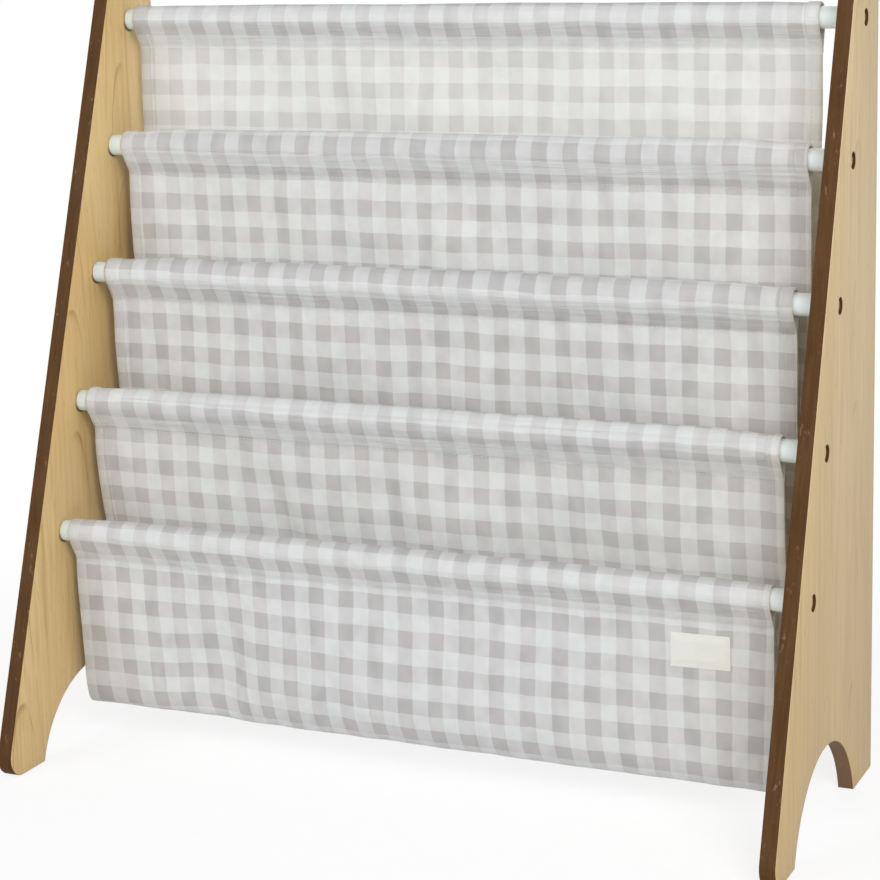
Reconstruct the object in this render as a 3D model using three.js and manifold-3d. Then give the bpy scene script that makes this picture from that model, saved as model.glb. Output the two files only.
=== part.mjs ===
// A sling bookshelf for a child's room: two side panels with an arch under each,
// five white rods between them, and a gingham cloth that hangs from rod to rod in four book pockets.
// Millimetres. +X is to the right, the front faces -Y, +Z is up.
// The origin lies on the floor, in the middle of the width and of the depth.

import * as THREE from "three";
import { mergeVertices } from "three/addons/utils/BufferGeometryUtils.js";
import Module from "manifold-3d";

// The whole shelf
const OVERALL_WIDTH = 625;
const OVERALL_DEPTH = 263;
const OVERALL_HEIGHT = 610;

// Side panels: plywood with a front edge that leans back, and an arch that leaves two feet
const PANEL_THICKNESS = 12;
const PANEL_TOP_RADIUS = 27;
const PANEL_TOE_RADIUS = 16;
const PANEL_HEEL_RADIUS = 2;
const FRONT_FOOT_LENGTH = 47;
const REAR_FOOT_LENGTH = 53;
const ARCH_HEIGHT = 61;

// Rods: evenly spaced in a row along the panels' front edge, each at the same setback behind it
const ROD_COUNT = 5;
const ROD_DIAMETER = 16.5;
const LOWEST_ROD_HEIGHT = 178.5;
const TOP_ROD_DROP = 33.5;
const TOP_ROD_REAR_MARGIN = 36.7;
const ROD_SETBACK = 38.5;
const ROD_CHAMFER = 0.8;

// Fasteners: a flat-headed bolt through each panel into a threaded insert in the rod's end
const BOLT_DIAMETER = 6;
const BOLT_REACH = 18;
const BOLT_HEAD_DIAMETER = 12.6;
const BOLT_HEAD_THICKNESS = 2.2;
const BOLT_HEAD_CHAMFER = 0.5;
const BOLT_SOCKET_WIDTH = 4.6;
const BOLT_SOCKET_DEPTH = 1.8;
const COUNTERBORE_DIAMETER = 13.6;
const COUNTERBORE_DEPTH = 4;
const INSERT_DIAMETER = 9.6;
const INSERT_LENGTH = 15;
const INSERT_BORE_SPARE = 5;

// Cloth: one sling a pocket, from the sleeve round its upper rod to the rod in front of it
const SLING_LEFT_GAP = 9.5;
const SLING_RIGHT_GAP = 19.5;
const CLOTH_THICKNESS = 1.4;
const SLEEVE_EASE = 0.6;
const SEAM_DROP = 22;
const SEAM_SETBACK = 3;
const SEAM_TAIL = 4;
const SEAM_CLOSE = 3;
const POCKET_DEPTH = 151;
const POCKET_BEND_DEPTH = 108;
const POCKET_REAR_LEAN = 14;
const LAYER_SPREAD = 2.4;
// How far each hanging wall has drifted back, one rod below the rod that it hangs from
const WALL_LEANS = [1.5, 4.5, 6.5, 12.5];
const FRONT_WALL_LEAN = 7.5;
const RIPPLE_DEPTH = 1.6;
const RIPPLE_LENGTH = 230;
const RIPPLE_PHASE_SHARE = 0.15;
const HALFWAY_SHARE = 0.5;
const BELLY_DEPTH = 1.6;

// The sewn label near the right end of the lowest pocket's front
const LABEL_WIDTH = 44;
const LABEL_HEIGHT = 26;
const LABEL_THICKNESS = 0.8;
const LABEL_DROP = 32;
const LABEL_RIGHT_MARGIN = 30;

// The gap between pieces that touch, how far a cutter runs past a face, and the steps of curves
const TOUCH_GAP = 0.3;
const CUT_OVERRUN = 1;
const WELD_DISTANCE = 0.0001;
const OUTLINE_STEPS = 14;
const ROD_SIDES = 24;
const FASTENER_SIDES = 16;
const SLEEVE_STEPS = 9;
const POCKET_STEPS = 9;
const WALL_STEPS = 4;
const SLING_STATIONS = 10;
const HEXAGON_SIDES = 6;

// Places that follow from the sizes
const INNER_HALF_WIDTH = OVERALL_WIDTH / 2 - PANEL_THICKNESS;
const FRONT = -OVERALL_DEPTH / 2;
const REAR = OVERALL_DEPTH / 2;
const TOP_ROD_HEIGHT = OVERALL_HEIGHT - TOP_ROD_DROP;
const TOP_ROD_DEPTH = REAR - TOP_ROD_REAR_MARGIN;
const ROD_RISE = (TOP_ROD_HEIGHT - LOWEST_ROD_HEIGHT) / (ROD_COUNT - 1);

// The front edge touches the round of the toe and passes the top rod at the rods' setback
const TOE_TO_TOP = new THREE.Vector2(
  TOP_ROD_DEPTH - ROD_SETBACK - (FRONT + PANEL_TOE_RADIUS),
  TOP_ROD_HEIGHT - PANEL_TOE_RADIUS,
);
const LEAN_ANGLE =
  Math.atan2(TOE_TO_TOP.x, TOE_TO_TOP.y) + Math.asin(PANEL_TOE_RADIUS / TOE_TO_TOP.length());
const LEAN_BACK = Math.tan(LEAN_ANGLE);

const SLING_LEFT = SLING_LEFT_GAP - INNER_HALF_WIDTH;
const SLING_RIGHT = INNER_HALF_WIDTH - SLING_RIGHT_GAP;
const SLING_WIDTH = SLING_RIGHT - SLING_LEFT;
const SLEEVE_INNER_RADIUS = ROD_DIAMETER / 2 + SLEEVE_EASE;
const SLEEVE_OUTER_RADIUS = SLEEVE_INNER_RADIUS + CLOTH_THICKNESS;
const HALF_CLOTH = CLOTH_THICKNESS / 2;

const wasm = await Module();
wasm.setup();

// Finishes
const finishes = {
  panel: { color: 0xcbb18a, roughness: 0.55, metalness: 0 },
  rod: { color: 0xe4e9e7, roughness: 0.35, metalness: 0 },
  bolt: { color: 0xa39474, roughness: 0.4, metalness: 0.8 },
  insert: { color: 0xb9b9b4, roughness: 0.4, metalness: 0.9 },
  cloth: { color: 0xd6d4cf, roughness: 0.9, metalness: 0 },
  label: { color: 0xefece2, roughness: 0.8, metalness: 0 },
};

function piece(name, geometry, finish) {
  const mesh = new THREE.Mesh(geometry, new THREE.MeshStandardMaterial(finishes[finish]));
  mesh.name = name;
  return mesh;
}

// Booleans
function toSolid(geometry) {
  const bare = geometry.clone();
  bare.deleteAttribute("normal");
  bare.deleteAttribute("uv");
  const merged = mergeVertices(bare, WELD_DISTANCE);
  return new wasm.Manifold(
    new wasm.Mesh({
      numProp: 3,
      vertProperties: new Float32Array(merged.attributes.position.array),
      triVerts: new Uint32Array(merged.index.array),
    }),
  );
}

function toGeometry(solid) {
  const mesh = solid.getMesh();
  const geometry = new THREE.BufferGeometry();
  geometry.setAttribute("position", new THREE.BufferAttribute(mesh.vertProperties, 3));
  geometry.setIndex(new THREE.BufferAttribute(mesh.triVerts, 1));
  geometry.computeVertexNormals();
  return geometry;
}

// Round pieces are turned about Y, then laid along X
function turned(profile, sides) {
  const geometry = new THREE.LatheGeometry(
    profile.map(([radius, along]) => new THREE.Vector2(radius, along)),
    sides,
  );
  return geometry.rotateZ(-Math.PI / 2);
}

// Level 1 is the top rod
function rodHeight(level) {
  return TOP_ROD_HEIGHT - (level - 1) * ROD_RISE;
}

function rodDepth(level) {
  return TOP_ROD_DEPTH - (level - 1) * ROD_RISE * LEAN_BACK;
}

// The front edge of a panel at a height above the floor
function frontEdge(height) {
  return TOP_ROD_DEPTH - ROD_SETBACK - (TOP_ROD_HEIGHT - height) * LEAN_BACK;
}

const levels = Array.from({ length: ROD_COUNT }, (_, index) => index + 1);

// Side panels

// Rounds the corner of an outline with an arc that touches both of its sides
function roundCorner(outline, before, corner, after, radius) {
  const towardsBefore = before.clone().sub(corner).normalize();
  const towardsAfter = after.clone().sub(corner).normalize();
  const halfAngle = Math.acos(towardsBefore.dot(towardsAfter)) / 2;
  const centre = towardsBefore
    .clone()
    .add(towardsAfter)
    .normalize()
    .multiplyScalar(radius / Math.sin(halfAngle))
    .add(corner);
  const tangent = radius / Math.tan(halfAngle);
  const start = towardsBefore.multiplyScalar(tangent).add(corner).sub(centre).angle();
  const end = towardsAfter.multiplyScalar(tangent).add(corner).sub(centre).angle();
  outline.absarc(centre.x, centre.y, radius, start, end, false);
}

// The outline lies in the plane of depth and height, and runs round from the toe
function panelOutline() {
  const toe = new THREE.Vector2(frontEdge(0), 0);
  const heel = new THREE.Vector2(REAR, 0);
  const topRear = new THREE.Vector2(REAR, OVERALL_HEIGHT);
  const topFront = new THREE.Vector2(frontEdge(OVERALL_HEIGHT), OVERALL_HEIGHT);
  const archFront = FRONT + FRONT_FOOT_LENGTH;
  const archRear = REAR - REAR_FOOT_LENGTH;
  const archHalfSpan = (archRear - archFront) / 2;
  const archRadius = (archHalfSpan ** 2 + ARCH_HEIGHT ** 2) / (2 * ARCH_HEIGHT);
  const archCentre = ARCH_HEIGHT - archRadius;
  const archStart = Math.atan2(-archCentre, -archHalfSpan);
  const archEnd = Math.atan2(-archCentre, archHalfSpan);
  const outline = new THREE.Shape();
  roundCorner(outline, topFront, toe, heel, PANEL_TOE_RADIUS);
  outline.absarc(archFront + archHalfSpan, archCentre, archRadius, archStart, archEnd, true);
  roundCorner(outline, toe, heel, topRear, PANEL_HEEL_RADIUS);
  roundCorner(outline, heel, topRear, topFront, PANEL_TOP_RADIUS);
  roundCorner(outline, topRear, topFront, toe, PANEL_TOP_RADIUS);
  outline.closePath();
  return outline;
}

// side is -1 for the left panel and 1 for the right one, whose outer face looks that way
function sidePanel(side) {
  const plate = new THREE.ExtrudeGeometry(panelOutline(), {
    depth: PANEL_THICKNESS,
    bevelEnabled: false,
    curveSegments: OUTLINE_STEPS,
  });
  const across = new THREE.Vector3(1, 0, 0);
  const back = new THREE.Vector3(0, 1, 0);
  const up = new THREE.Vector3(0, 0, 1);
  plate.applyMatrix4(new THREE.Matrix4().makeBasis(back, up, across));
  plate.translate(side > 0 ? INNER_HALF_WIDTH : -INNER_HALF_WIDTH - PANEL_THICKNESS, 0, 0);
  let solid = toSolid(plate);
  for (const level of levels) {
    solid = solid.subtract(boltHole(side, level));
  }
  return toGeometry(solid);
}

// A hole for the bolt's shank with a flat-bottomed counterbore for its head
function boltHole(side, level) {
  const shankRadius = BOLT_DIAMETER / 2 + TOUCH_GAP;
  const headRadius = COUNTERBORE_DIAMETER / 2;
  const innerEnd = INNER_HALF_WIDTH - CUT_OVERRUN;
  const floor = OVERALL_WIDTH / 2 - COUNTERBORE_DEPTH;
  const outerEnd = OVERALL_WIDTH / 2 + CUT_OVERRUN;
  const cutter = turned(
    [
      [0, innerEnd],
      [shankRadius, innerEnd],
      [shankRadius, floor],
      [headRadius, floor],
      [headRadius, outerEnd],
      [0, outerEnd],
    ],
    FASTENER_SIDES,
  );
  if (side < 0) {
    cutter.rotateZ(Math.PI);
  }
  cutter.translate(0, rodDepth(level), rodHeight(level));
  return toSolid(cutter);
}

// Rods, with a blind bore in each end for the insert
function rod() {
  const half = INNER_HALF_WIDTH - TOUCH_GAP;
  const radius = ROD_DIAMETER / 2;
  const boreRadius = INSERT_DIAMETER / 2 + TOUCH_GAP;
  const boreEnd = half - INSERT_LENGTH - INSERT_BORE_SPARE;
  return turned(
    [
      [0, -boreEnd],
      [boreRadius, -boreEnd],
      [boreRadius, -half],
      [radius - ROD_CHAMFER, -half],
      [radius, ROD_CHAMFER - half],
      [radius, half - ROD_CHAMFER],
      [radius - ROD_CHAMFER, half],
      [boreRadius, half],
      [boreRadius, boreEnd],
      [0, boreEnd],
    ],
    ROD_SIDES,
  );
}

// The threaded insert, a plain sleeve here, ends flush with the rod
function insert() {
  const outerEnd = INNER_HALF_WIDTH - TOUCH_GAP;
  const innerEnd = outerEnd - INSERT_LENGTH;
  const bore = BOLT_DIAMETER / 2 + TOUCH_GAP;
  const radius = INSERT_DIAMETER / 2;
  return turned(
    [
      [bore, innerEnd],
      [radius, innerEnd],
      [radius, outerEnd],
      [bore, outerEnd],
      [bore, innerEnd],
    ],
    FASTENER_SIDES,
  );
}

// The bolt's head sits on the counterbore's floor, and its six-sided socket looks outwards
function bolt() {
  const seat = OVERALL_WIDTH / 2 - COUNTERBORE_DEPTH + TOUCH_GAP;
  const face = seat + BOLT_HEAD_THICKNESS;
  const tip = seat - (PANEL_THICKNESS - COUNTERBORE_DEPTH) - BOLT_REACH;
  const shank = BOLT_DIAMETER / 2;
  const head = BOLT_HEAD_DIAMETER / 2;
  const body = turned(
    [
      [0, tip],
      [shank, tip],
      [shank, seat],
      [head, seat],
      [head, face - BOLT_HEAD_CHAMFER],
      [head - BOLT_HEAD_CHAMFER, face],
      [0, face],
    ],
    FASTENER_SIDES,
  );
  const socketRadius = BOLT_SOCKET_WIDTH / 2 / Math.cos(Math.PI / HEXAGON_SIDES);
  const socket = turned(
    [
      [0, face - BOLT_SOCKET_DEPTH],
      [socketRadius, face - BOLT_SOCKET_DEPTH],
      [socketRadius, face + CUT_OVERRUN],
      [0, face + CUT_OVERRUN],
    ],
    HEXAGON_SIDES,
  );
  return toGeometry(toSolid(body).subtract(toSolid(socket)));
}

// Cloth

// A cross-section is an outline and holes, as points of depth and height.
// The loft joins a row of alike sections that stand across X into one closed body.
function loft(sections) {
  const positions = [];
  const faces = [];
  const count = sections[0].rings.flat().length;
  for (const { across, rings } of sections) {
    for (const point of rings.flat()) {
      positions.push(across, point.x, point.y);
    }
  }
  for (let station = 0; station + 1 < sections.length; station += 1) {
    let first = station * count;
    for (const ring of sections[station].rings) {
      for (let index = 0; index < ring.length; index += 1) {
        const here = first + index;
        const next = first + ((index + 1) % ring.length);
        faces.push(here, next, next + count);
        faces.push(here, next + count, here + count);
      }
      first += ring.length;
    }
  }
  const lastStation = sections.length - 1;
  faces.push(...cap(sections[0], 0, false));
  faces.push(...cap(sections[lastStation], lastStation * count, true));
  const geometry = new THREE.BufferGeometry();
  geometry.setAttribute("position", new THREE.Float32BufferAttribute(positions, 3));
  geometry.setIndex(faces);
  geometry.computeVertexNormals();
  return geometry;
}

// The flat end of a loft, seen from +X anticlockwise where it looks towards +X
function cap(section, first, looksRight) {
  const points = section.rings.flat();
  const faces = [];
  const triangles = THREE.ShapeUtils.triangulateShape([...section.rings[0]], section.rings.slice(1));
  for (const [a, b, c] of triangles) {
    const turn = THREE.ShapeUtils.area([points[a], points[b], points[c]]);
    const order = turn > 0 === looksRight ? [a, b, c] : [a, c, b];
    faces.push(...order.map((index) => first + index));
  }
  return faces;
}

function at(depth, height) {
  return new THREE.Vector2(depth, height);
}

function mix(start, end, share) {
  return start + (end - start) * THREE.MathUtils.clamp(share, 0, 1);
}

// How far behind its rod's axis the middle of a hanging wall lies, at a drop below the axis.
// It leaves the seam plumb and drifts back ever faster, then settles towards the pocket's bottom.
function wallSetback(level, drop) {
  const belowSeam = drop - SEAM_DROP;
  if (level === ROD_COUNT) {
    return mix(SEAM_SETBACK, FRONT_WALL_LEAN, (belowSeam / (POCKET_BEND_DEPTH - SEAM_DROP)) ** 2);
  }
  const lean = WALL_LEANS[level - 1];
  if (drop < ROD_RISE) {
    return mix(SEAM_SETBACK, lean, (belowSeam / (ROD_RISE - SEAM_DROP)) ** 2);
  }
  const left = 1 - (drop - ROD_RISE) / POCKET_BEND_DEPTH;
  return mix(POCKET_REAR_LEAN, lean, left ** 2);
}

// The front wall of a pocket hangs close behind the back wall of the pocket below it
function frontWallSetback(level, drop) {
  if (level === ROD_COUNT) {
    return wallSetback(level, drop);
  }
  const spread = mix(TOUCH_GAP, LAYER_SPREAD, (drop - SEAM_DROP) / (POCKET_BEND_DEPTH - SEAM_DROP));
  return wallSetback(level, drop) + CLOTH_THICKNESS + spread;
}

// Points round a rod from one side of the sleeve over the top to the other,
// between the two lines that touch the circle and run down to the seam
function overRod(level, radius, fromPoint, toPoint) {
  const axis = at(rodDepth(level), rodHeight(level));
  const touch = (point, turn) => {
    const offset = point.clone().sub(axis);
    return offset.angle() + turn * Math.acos(radius / offset.length());
  };
  const start = touch(fromPoint, 1);
  const end = touch(toPoint, -1) + (touch(toPoint, -1) < start ? 2 * Math.PI : 0);
  return Array.from({ length: SLEEVE_STEPS + 1 }, (_, index) => {
    const angle = mix(start, end, index / SLEEVE_STEPS);
    return at(axis.x + radius * Math.cos(angle), axis.y + radius * Math.sin(angle));
  });
}

// The sleeve from the rear of its seam to the front: two layers sewn together below the rod
function sleeveOutline(level) {
  const seamDepth = rodDepth(level) + SEAM_SETBACK;
  const seamHeight = rodHeight(level) - SEAM_DROP;
  const rear = at(seamDepth + HALF_CLOTH + CLOTH_THICKNESS, seamHeight);
  const front = at(seamDepth - HALF_CLOTH, seamHeight);
  return [
    at(rear.x, seamHeight - SEAM_TAIL),
    rear,
    ...overRod(level, SLEEVE_OUTER_RADIUS, rear, front),
    front,
  ];
}

// The space for the rod, with its tip where the layers meet
function sleeveHole(level) {
  const tip = at(
    rodDepth(level) + SEAM_SETBACK + HALF_CLOTH,
    rodHeight(level) - SEAM_DROP + SEAM_CLOSE,
  );
  return [tip, ...overRod(level, SLEEVE_INNER_RADIUS, tip, tip)].reverse();
}

// One face of a hanging wall, from the top down; offset is the face's place from the wall's middle
function wallFace(level, topDrop, bottomDrop, setback, offset) {
  return Array.from({ length: WALL_STEPS + 1 }, (_, index) => {
    const drop = mix(topDrop, bottomDrop, index / WALL_STEPS);
    return at(rodDepth(level) + setback(level, drop) + offset, rodHeight(level) - drop);
  });
}

// The back wall of a pocket goes on down past the rod in front of it
function backWallFace(level, topDrop, offset) {
  const upper = wallFace(level, topDrop, POCKET_BEND_DEPTH, wallSetback, offset);
  const lower = wallFace(level, POCKET_BEND_DEPTH, ROD_RISE + POCKET_BEND_DEPTH, wallSetback, offset);
  return [...upper, ...lower.slice(1)];
}

// The round bottom of a pocket from front to back, as half an ellipse
function pocketBottom(level, offset) {
  const frontLevel = level + 1;
  const front = rodDepth(frontLevel) + frontWallSetback(frontLevel, POCKET_BEND_DEPTH) - offset;
  const rear = rodDepth(level) + POCKET_REAR_LEAN + offset;
  const bend = rodHeight(frontLevel) - POCKET_BEND_DEPTH;
  const depth = POCKET_DEPTH - POCKET_BEND_DEPTH - HALF_CLOTH + offset;
  return Array.from({ length: POCKET_STEPS - 1 }, (_, index) => {
    const angle = (Math.PI * (index + 1)) / POCKET_STEPS;
    const middle = (front + rear) / 2;
    return at(middle - ((rear - front) / 2) * Math.cos(angle), bend - depth * Math.sin(angle));
  });
}

// The section of one sling, all in one plane
function slingRings(level) {
  const frontLevel = level + 1;
  const hasFrontSleeve = frontLevel === ROD_COUNT;
  const seamEnd = SEAM_DROP + SEAM_TAIL;
  const frontTop = hasFrontSleeve ? seamEnd : seamEnd + TOUCH_GAP;
  const frontFaceTop = hasFrontSleeve ? SEAM_DROP + SEAM_CLOSE : frontTop;
  const outline = [
    ...sleeveOutline(level),
    ...backWallFace(level, SEAM_DROP + SEAM_CLOSE, -HALF_CLOTH),
    ...pocketBottom(level, -HALF_CLOTH).reverse(),
    ...wallFace(frontLevel, frontTop, POCKET_BEND_DEPTH, frontWallSetback, HALF_CLOTH).reverse(),
    ...(hasFrontSleeve ? sleeveOutline(frontLevel) : []),
    ...wallFace(frontLevel, frontFaceTop, POCKET_BEND_DEPTH, frontWallSetback, -HALF_CLOTH),
    ...pocketBottom(level, HALF_CLOTH),
    ...backWallFace(level, seamEnd, HALF_CLOTH).reverse(),
  ];
  const holes = [sleeveHole(level)];
  if (hasFrontSleeve) {
    holes.push(sleeveHole(frontLevel));
  }
  return [outline, ...holes];
}

// The soft waves of the cloth: none at the rods, most halfway between them and below the last one
function ripple(across, height) {
  const rise = (height - LOWEST_ROD_HEIGHT) / ROD_RISE;
  const swell = rise < -HALFWAY_SHARE ? 1 : Math.sin(Math.PI * rise) ** 2;
  const turn = across / RIPPLE_LENGTH + RIPPLE_PHASE_SHARE;
  return RIPPLE_DEPTH * swell * Math.sin(2 * Math.PI * turn);
}

// The pocket's bottom hangs a little lower in the middle of its width
function belly(share, height, bendHeight) {
  const below = Math.min(0, height - bendHeight) / (POCKET_DEPTH - POCKET_BEND_DEPTH);
  return BELLY_DEPTH * below * (1 - (2 * share - 1) ** 2);
}

// The places across the cloth where its sections stand; the cloth is straight between them
const stations = Array.from(
  { length: SLING_STATIONS },
  (_, index) => SLING_LEFT + (SLING_WIDTH * index) / (SLING_STATIONS - 1),
);

function rippleOnCloth(across, height) {
  const after = stations.findIndex((station) => station >= across);
  if (after <= 0) {
    return ripple(across, height);
  }
  const [start, end] = [stations[after - 1], stations[after]];
  return mix(ripple(start, height), ripple(end, height), (across - start) / (end - start));
}

function sling(level) {
  const rings = slingRings(level);
  const bendHeight = rodHeight(level + 1) - POCKET_BEND_DEPTH;
  const sections = stations.map((across, index) => {
    const share = index / (SLING_STATIONS - 1);
    const moved = rings.map((ring) =>
      ring.map((point) =>
        at(point.x + ripple(across, point.y), point.y + belly(share, point.y, bendHeight)),
      ),
    );
    return { across, rings: moved };
  });
  return loft(sections);
}

// The label lies on the front wall of the lowest pocket and follows it
function label() {
  const clear = -HALF_CLOTH - TOUCH_GAP;
  const back = wallFace(ROD_COUNT, LABEL_DROP, LABEL_DROP + LABEL_HEIGHT, wallSetback, clear);
  const front = back.map((point) => at(point.x - LABEL_THICKNESS, point.y));
  const ring = [...front, ...back.toReversed()];
  const right = SLING_RIGHT - LABEL_RIGHT_MARGIN;
  const left = right - LABEL_WIDTH;
  const between = stations.filter((station) => station > left && station < right);
  const sections = [left, ...between, right].map((across) => {
    const moved = ring.map((point) => at(point.x + rippleOnCloth(across, point.y), point.y));
    return { across, rings: [moved] };
  });
  return loft(sections);
}

// Assembly
const shelf = new THREE.Group();
shelf.add(piece("side_panel_left", sidePanel(-1), "panel"));
shelf.add(piece("side_panel_right", sidePanel(1), "panel"));

const rodGeometry = rod();
const insertGeometry = insert();
const boltGeometry = bolt();
for (const level of levels) {
  const row = new THREE.Group();
  row.position.set(0, rodDepth(level), rodHeight(level));
  row.add(piece(`rod_${level}`, rodGeometry, "rod"));
  for (const [side, turn] of [["left", Math.PI], ["right", 0]]) {
    const end = new THREE.Group();
    end.rotation.z = turn;
    end.add(piece(`threaded_insert_${side}_${level}`, insertGeometry, "insert"));
    end.add(piece(`bolt_${side}_${level}`, boltGeometry, "bolt"));
    row.add(end);
  }
  shelf.add(row);
}

for (const level of levels.slice(0, -1)) {
  shelf.add(piece(`pocket_sling_${level}`, sling(level), "cloth"));
}
shelf.add(piece("sewn_label", label(), "label"));

export default shelf;
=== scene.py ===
# The looks of the sling bookshelf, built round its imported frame. Metres, with the frame's axes:
# +X is to the right, the front faces -Y, +Z is up, and the floor is at z = 0.

import math

import bpy
import numpy as np
from mathutils import Matrix, Vector
from mathutils.geometry import tessellate_polygon


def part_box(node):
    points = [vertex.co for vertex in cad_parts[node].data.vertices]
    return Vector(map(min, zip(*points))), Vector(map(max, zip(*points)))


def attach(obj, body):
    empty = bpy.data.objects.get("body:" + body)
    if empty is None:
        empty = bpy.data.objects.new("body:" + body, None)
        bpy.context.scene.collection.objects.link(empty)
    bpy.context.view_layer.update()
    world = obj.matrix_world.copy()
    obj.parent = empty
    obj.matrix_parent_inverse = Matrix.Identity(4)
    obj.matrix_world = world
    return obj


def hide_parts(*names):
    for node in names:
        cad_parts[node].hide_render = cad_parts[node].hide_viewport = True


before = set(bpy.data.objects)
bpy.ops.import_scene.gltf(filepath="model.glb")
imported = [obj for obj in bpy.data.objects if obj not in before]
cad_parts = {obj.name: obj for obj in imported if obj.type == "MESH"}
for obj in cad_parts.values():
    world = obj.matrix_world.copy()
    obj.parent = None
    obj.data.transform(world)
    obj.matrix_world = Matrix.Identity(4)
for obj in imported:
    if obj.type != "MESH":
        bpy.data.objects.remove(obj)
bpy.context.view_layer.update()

# The cloth's right edge stands this far past the frame's plain solid
SELVEDGE_REACH = 0.0025

# Sizes taken from the frame
LEVELS = (1, 2, 3, 4, 5)
LOWEST = LEVELS[-1]


def middle(node):
    """The middle of a frame node's box."""
    low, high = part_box(node)
    return (low + high) / 2


right_low, right_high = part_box("side_panel_right")
rod_low, rod_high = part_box("rod_1")
cloth_low, cloth_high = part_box("pocket_sling_1")
label_low, label_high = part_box("sewn_label")
ROD_DEPTH = {level: middle(f"rod_{level}").y for level in LEVELS}
ROD_HEIGHT = {level: middle(f"rod_{level}").z for level in LEVELS}
ROD_RISE = ROD_HEIGHT[1] - ROD_HEIGHT[2]
LEAN_BACK = (ROD_DEPTH[1] - ROD_DEPTH[2]) / ROD_RISE
ROD_RADIUS = (rod_high.z - rod_low.z) / 2
ROD_END = rod_high.x
PANEL_INNER = right_low.x
PANEL_OUTER = right_high.x
FRONT = right_low.y
REAR = right_high.y
TOP = right_high.z
CLOTH_LEFT = cloth_low.x
CLOTH_RIGHT = cloth_high.x + SELVEDGE_REACH
CLOTH_WIDTH = CLOTH_RIGHT - CLOTH_LEFT

# Side panels
ROD_SETBACK = 0.0385
PANEL_TOP_RADIUS = 0.027
PANEL_TOE_RADIUS = 0.016
PANEL_HEEL_RADIUS = 0.002
FRONT_FOOT_LENGTH = 0.047
REAR_FOOT_LENGTH = 0.053
ARCH_HEIGHT = 0.061
ARRIS = 0.0004
ARRIS_ROUND_SHARE = 0.3
CORNER_STEPS = 20
ARCH_STEPS = 72
COUNTERBORE_RADIUS = 0.0062
COUNTERBORE_DEPTH = 0.004
SHANK_HOLE_RADIUS = 0.0033
HOLE_CHAMFER = 0.0003
HOLE_STEPS = 48
MITRE_LIMIT = 0.2
VENEER = 0
CUT_EDGE = 1

# Rods and bolts
ROD_ROUNDING = 0.0012
ROD_SIDES = 64
ROUNDING_STEPS = 5
BORE_PAST_INSERT = 0.005
BOLT_HEAD_RADIUS = 0.0057
BOLT_HEAD_ROUNDING = 0.0006
BOLT_CROWN = 0.0003
BOLT_SUNK = 0.0005
BOLT_SOCKET_HALF = 0.0023
BOLT_SOCKET_DEPTH = 0.0016
BOLT_SOCKET_CHAMFER = 0.0002
BOLT_HEAD_HEIGHT = 0.0016
BOLT_SHANK_RADIUS = 0.003
BOLT_TIP_CHAMFER = 0.0008
BOLT_SIDES = 48
BOLT_SHARP_ANGLE = 35

# Cloth: the centre line of each sling, as the frame's solids have it
CLOTH = 0.0010
CLOTH_SHARP_ANGLE = 60
LAYER_STEP = 0.0014
SLEEVE_EASE = 0.0007
SLEEVE_RADIUS = ROD_RADIUS + SLEEVE_EASE + CLOTH / 2
SEAM_DROP = 0.022
SEAM_SETBACK = 0.003
SEAM_TAIL = 0.004
LAYER_GAP = 0.0003
LAYER_SPREAD = 0.0024
BEND_DROP = 0.108
POCKET_DROP = 0.1503
REAR_LEAN = 0.014
WALL_LEANS = {1: 0.0015, 2: 0.0045, 3: 0.0065, 4: 0.0125}
FRONT_WALL_LEAN = 0.0075
RIPPLE_DEPTH = 0.0016
RIPPLE_LENGTH = 0.230
RIPPLE_PHASE_SHARE = 0.15
BELLY_DEPTH = 0.0016

# How closely the cloth's lines and grids are divided
LINE_STEP = 0.0005
SLEEVE_TURNS = 60
BOTTOM_TURNS = 160
CORNER_REACH = 4
PATH_STEP = 0.0026
SLEEVE_STEP = 0.0015
LEAST_STEP = 0.0004
ACROSS_STEP = 0.0033

# How far the sleeve's slack lifts it off the top of each rod, and what share of that its ends keep
SLEEVE_LIFT = {1: 0.0017, 2: 0.0044, 3: 0.0038, 4: 0.0030, 5: 0.0016}
SLEEVE_END_SHARE = {1: 0.5, 2: 0.25, 3: 0.35, 4: 0.35, 5: 0.2}
SLEEVE_END_REACH = 0.050
SLEEVE_LIFT_VARIES = 0.22

# The sleeves' relief: creases along the rod, one ridge behind its top, and puckers at the seam. Where
# creases and puckers begin and end is measured from the seam, onto the sleeve
SLEEVE_PATH = 0.0256
RIDGE_PLACE = 0.0150
RIDGE_WIDTH = 0.0014
RIDGE_HEIGHT = 0.0004
CREASE_DEPTH = 0.00045
CREASES_BEGIN = (0.004, 0.012)
CREASES_END = (0.055, 0.062)
PUCKER_DEPTH = 0.00040
PUCKERS_BEGIN = (-0.016, -0.002)
PUCKERS_END = (0.003, 0.012)
DEEPEST_DENT = 0.0002

# Smooth unevenness: each kind's share or size if it has one, its length across and along, and its seed
LATTICE = 97
SLACK_PATCH = (0.055, 6)
CREASE_SIZE = (0.070, 0.0034, 7)
CREASE_PATCH = (0.03, 0.01, 8)
PUCKER_SIZE = (0.0075, 0.012, 9)
RIDGE_PATCH = (0.040, 11)
COCKLE_SIZE = (0.018, 0.012, 2)
CRUMPLE_DEPTH = 0.0008
CRUMPLES = ((1.0, 0.055, 0.055, 4), (0.95, 0.020, 0.050, 5), (0.3, 0.009, 0.024, 6))
COLUMN_DRIFTS = ((0.0008, 0.045, 0.05, 20), (0.0007, 0.018, 0.035, 40))
ROW_DRIFTS = ((0.0006, 0.05, 0.06, 30), (0.0005, 0.020, 0.020, 50))

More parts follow.
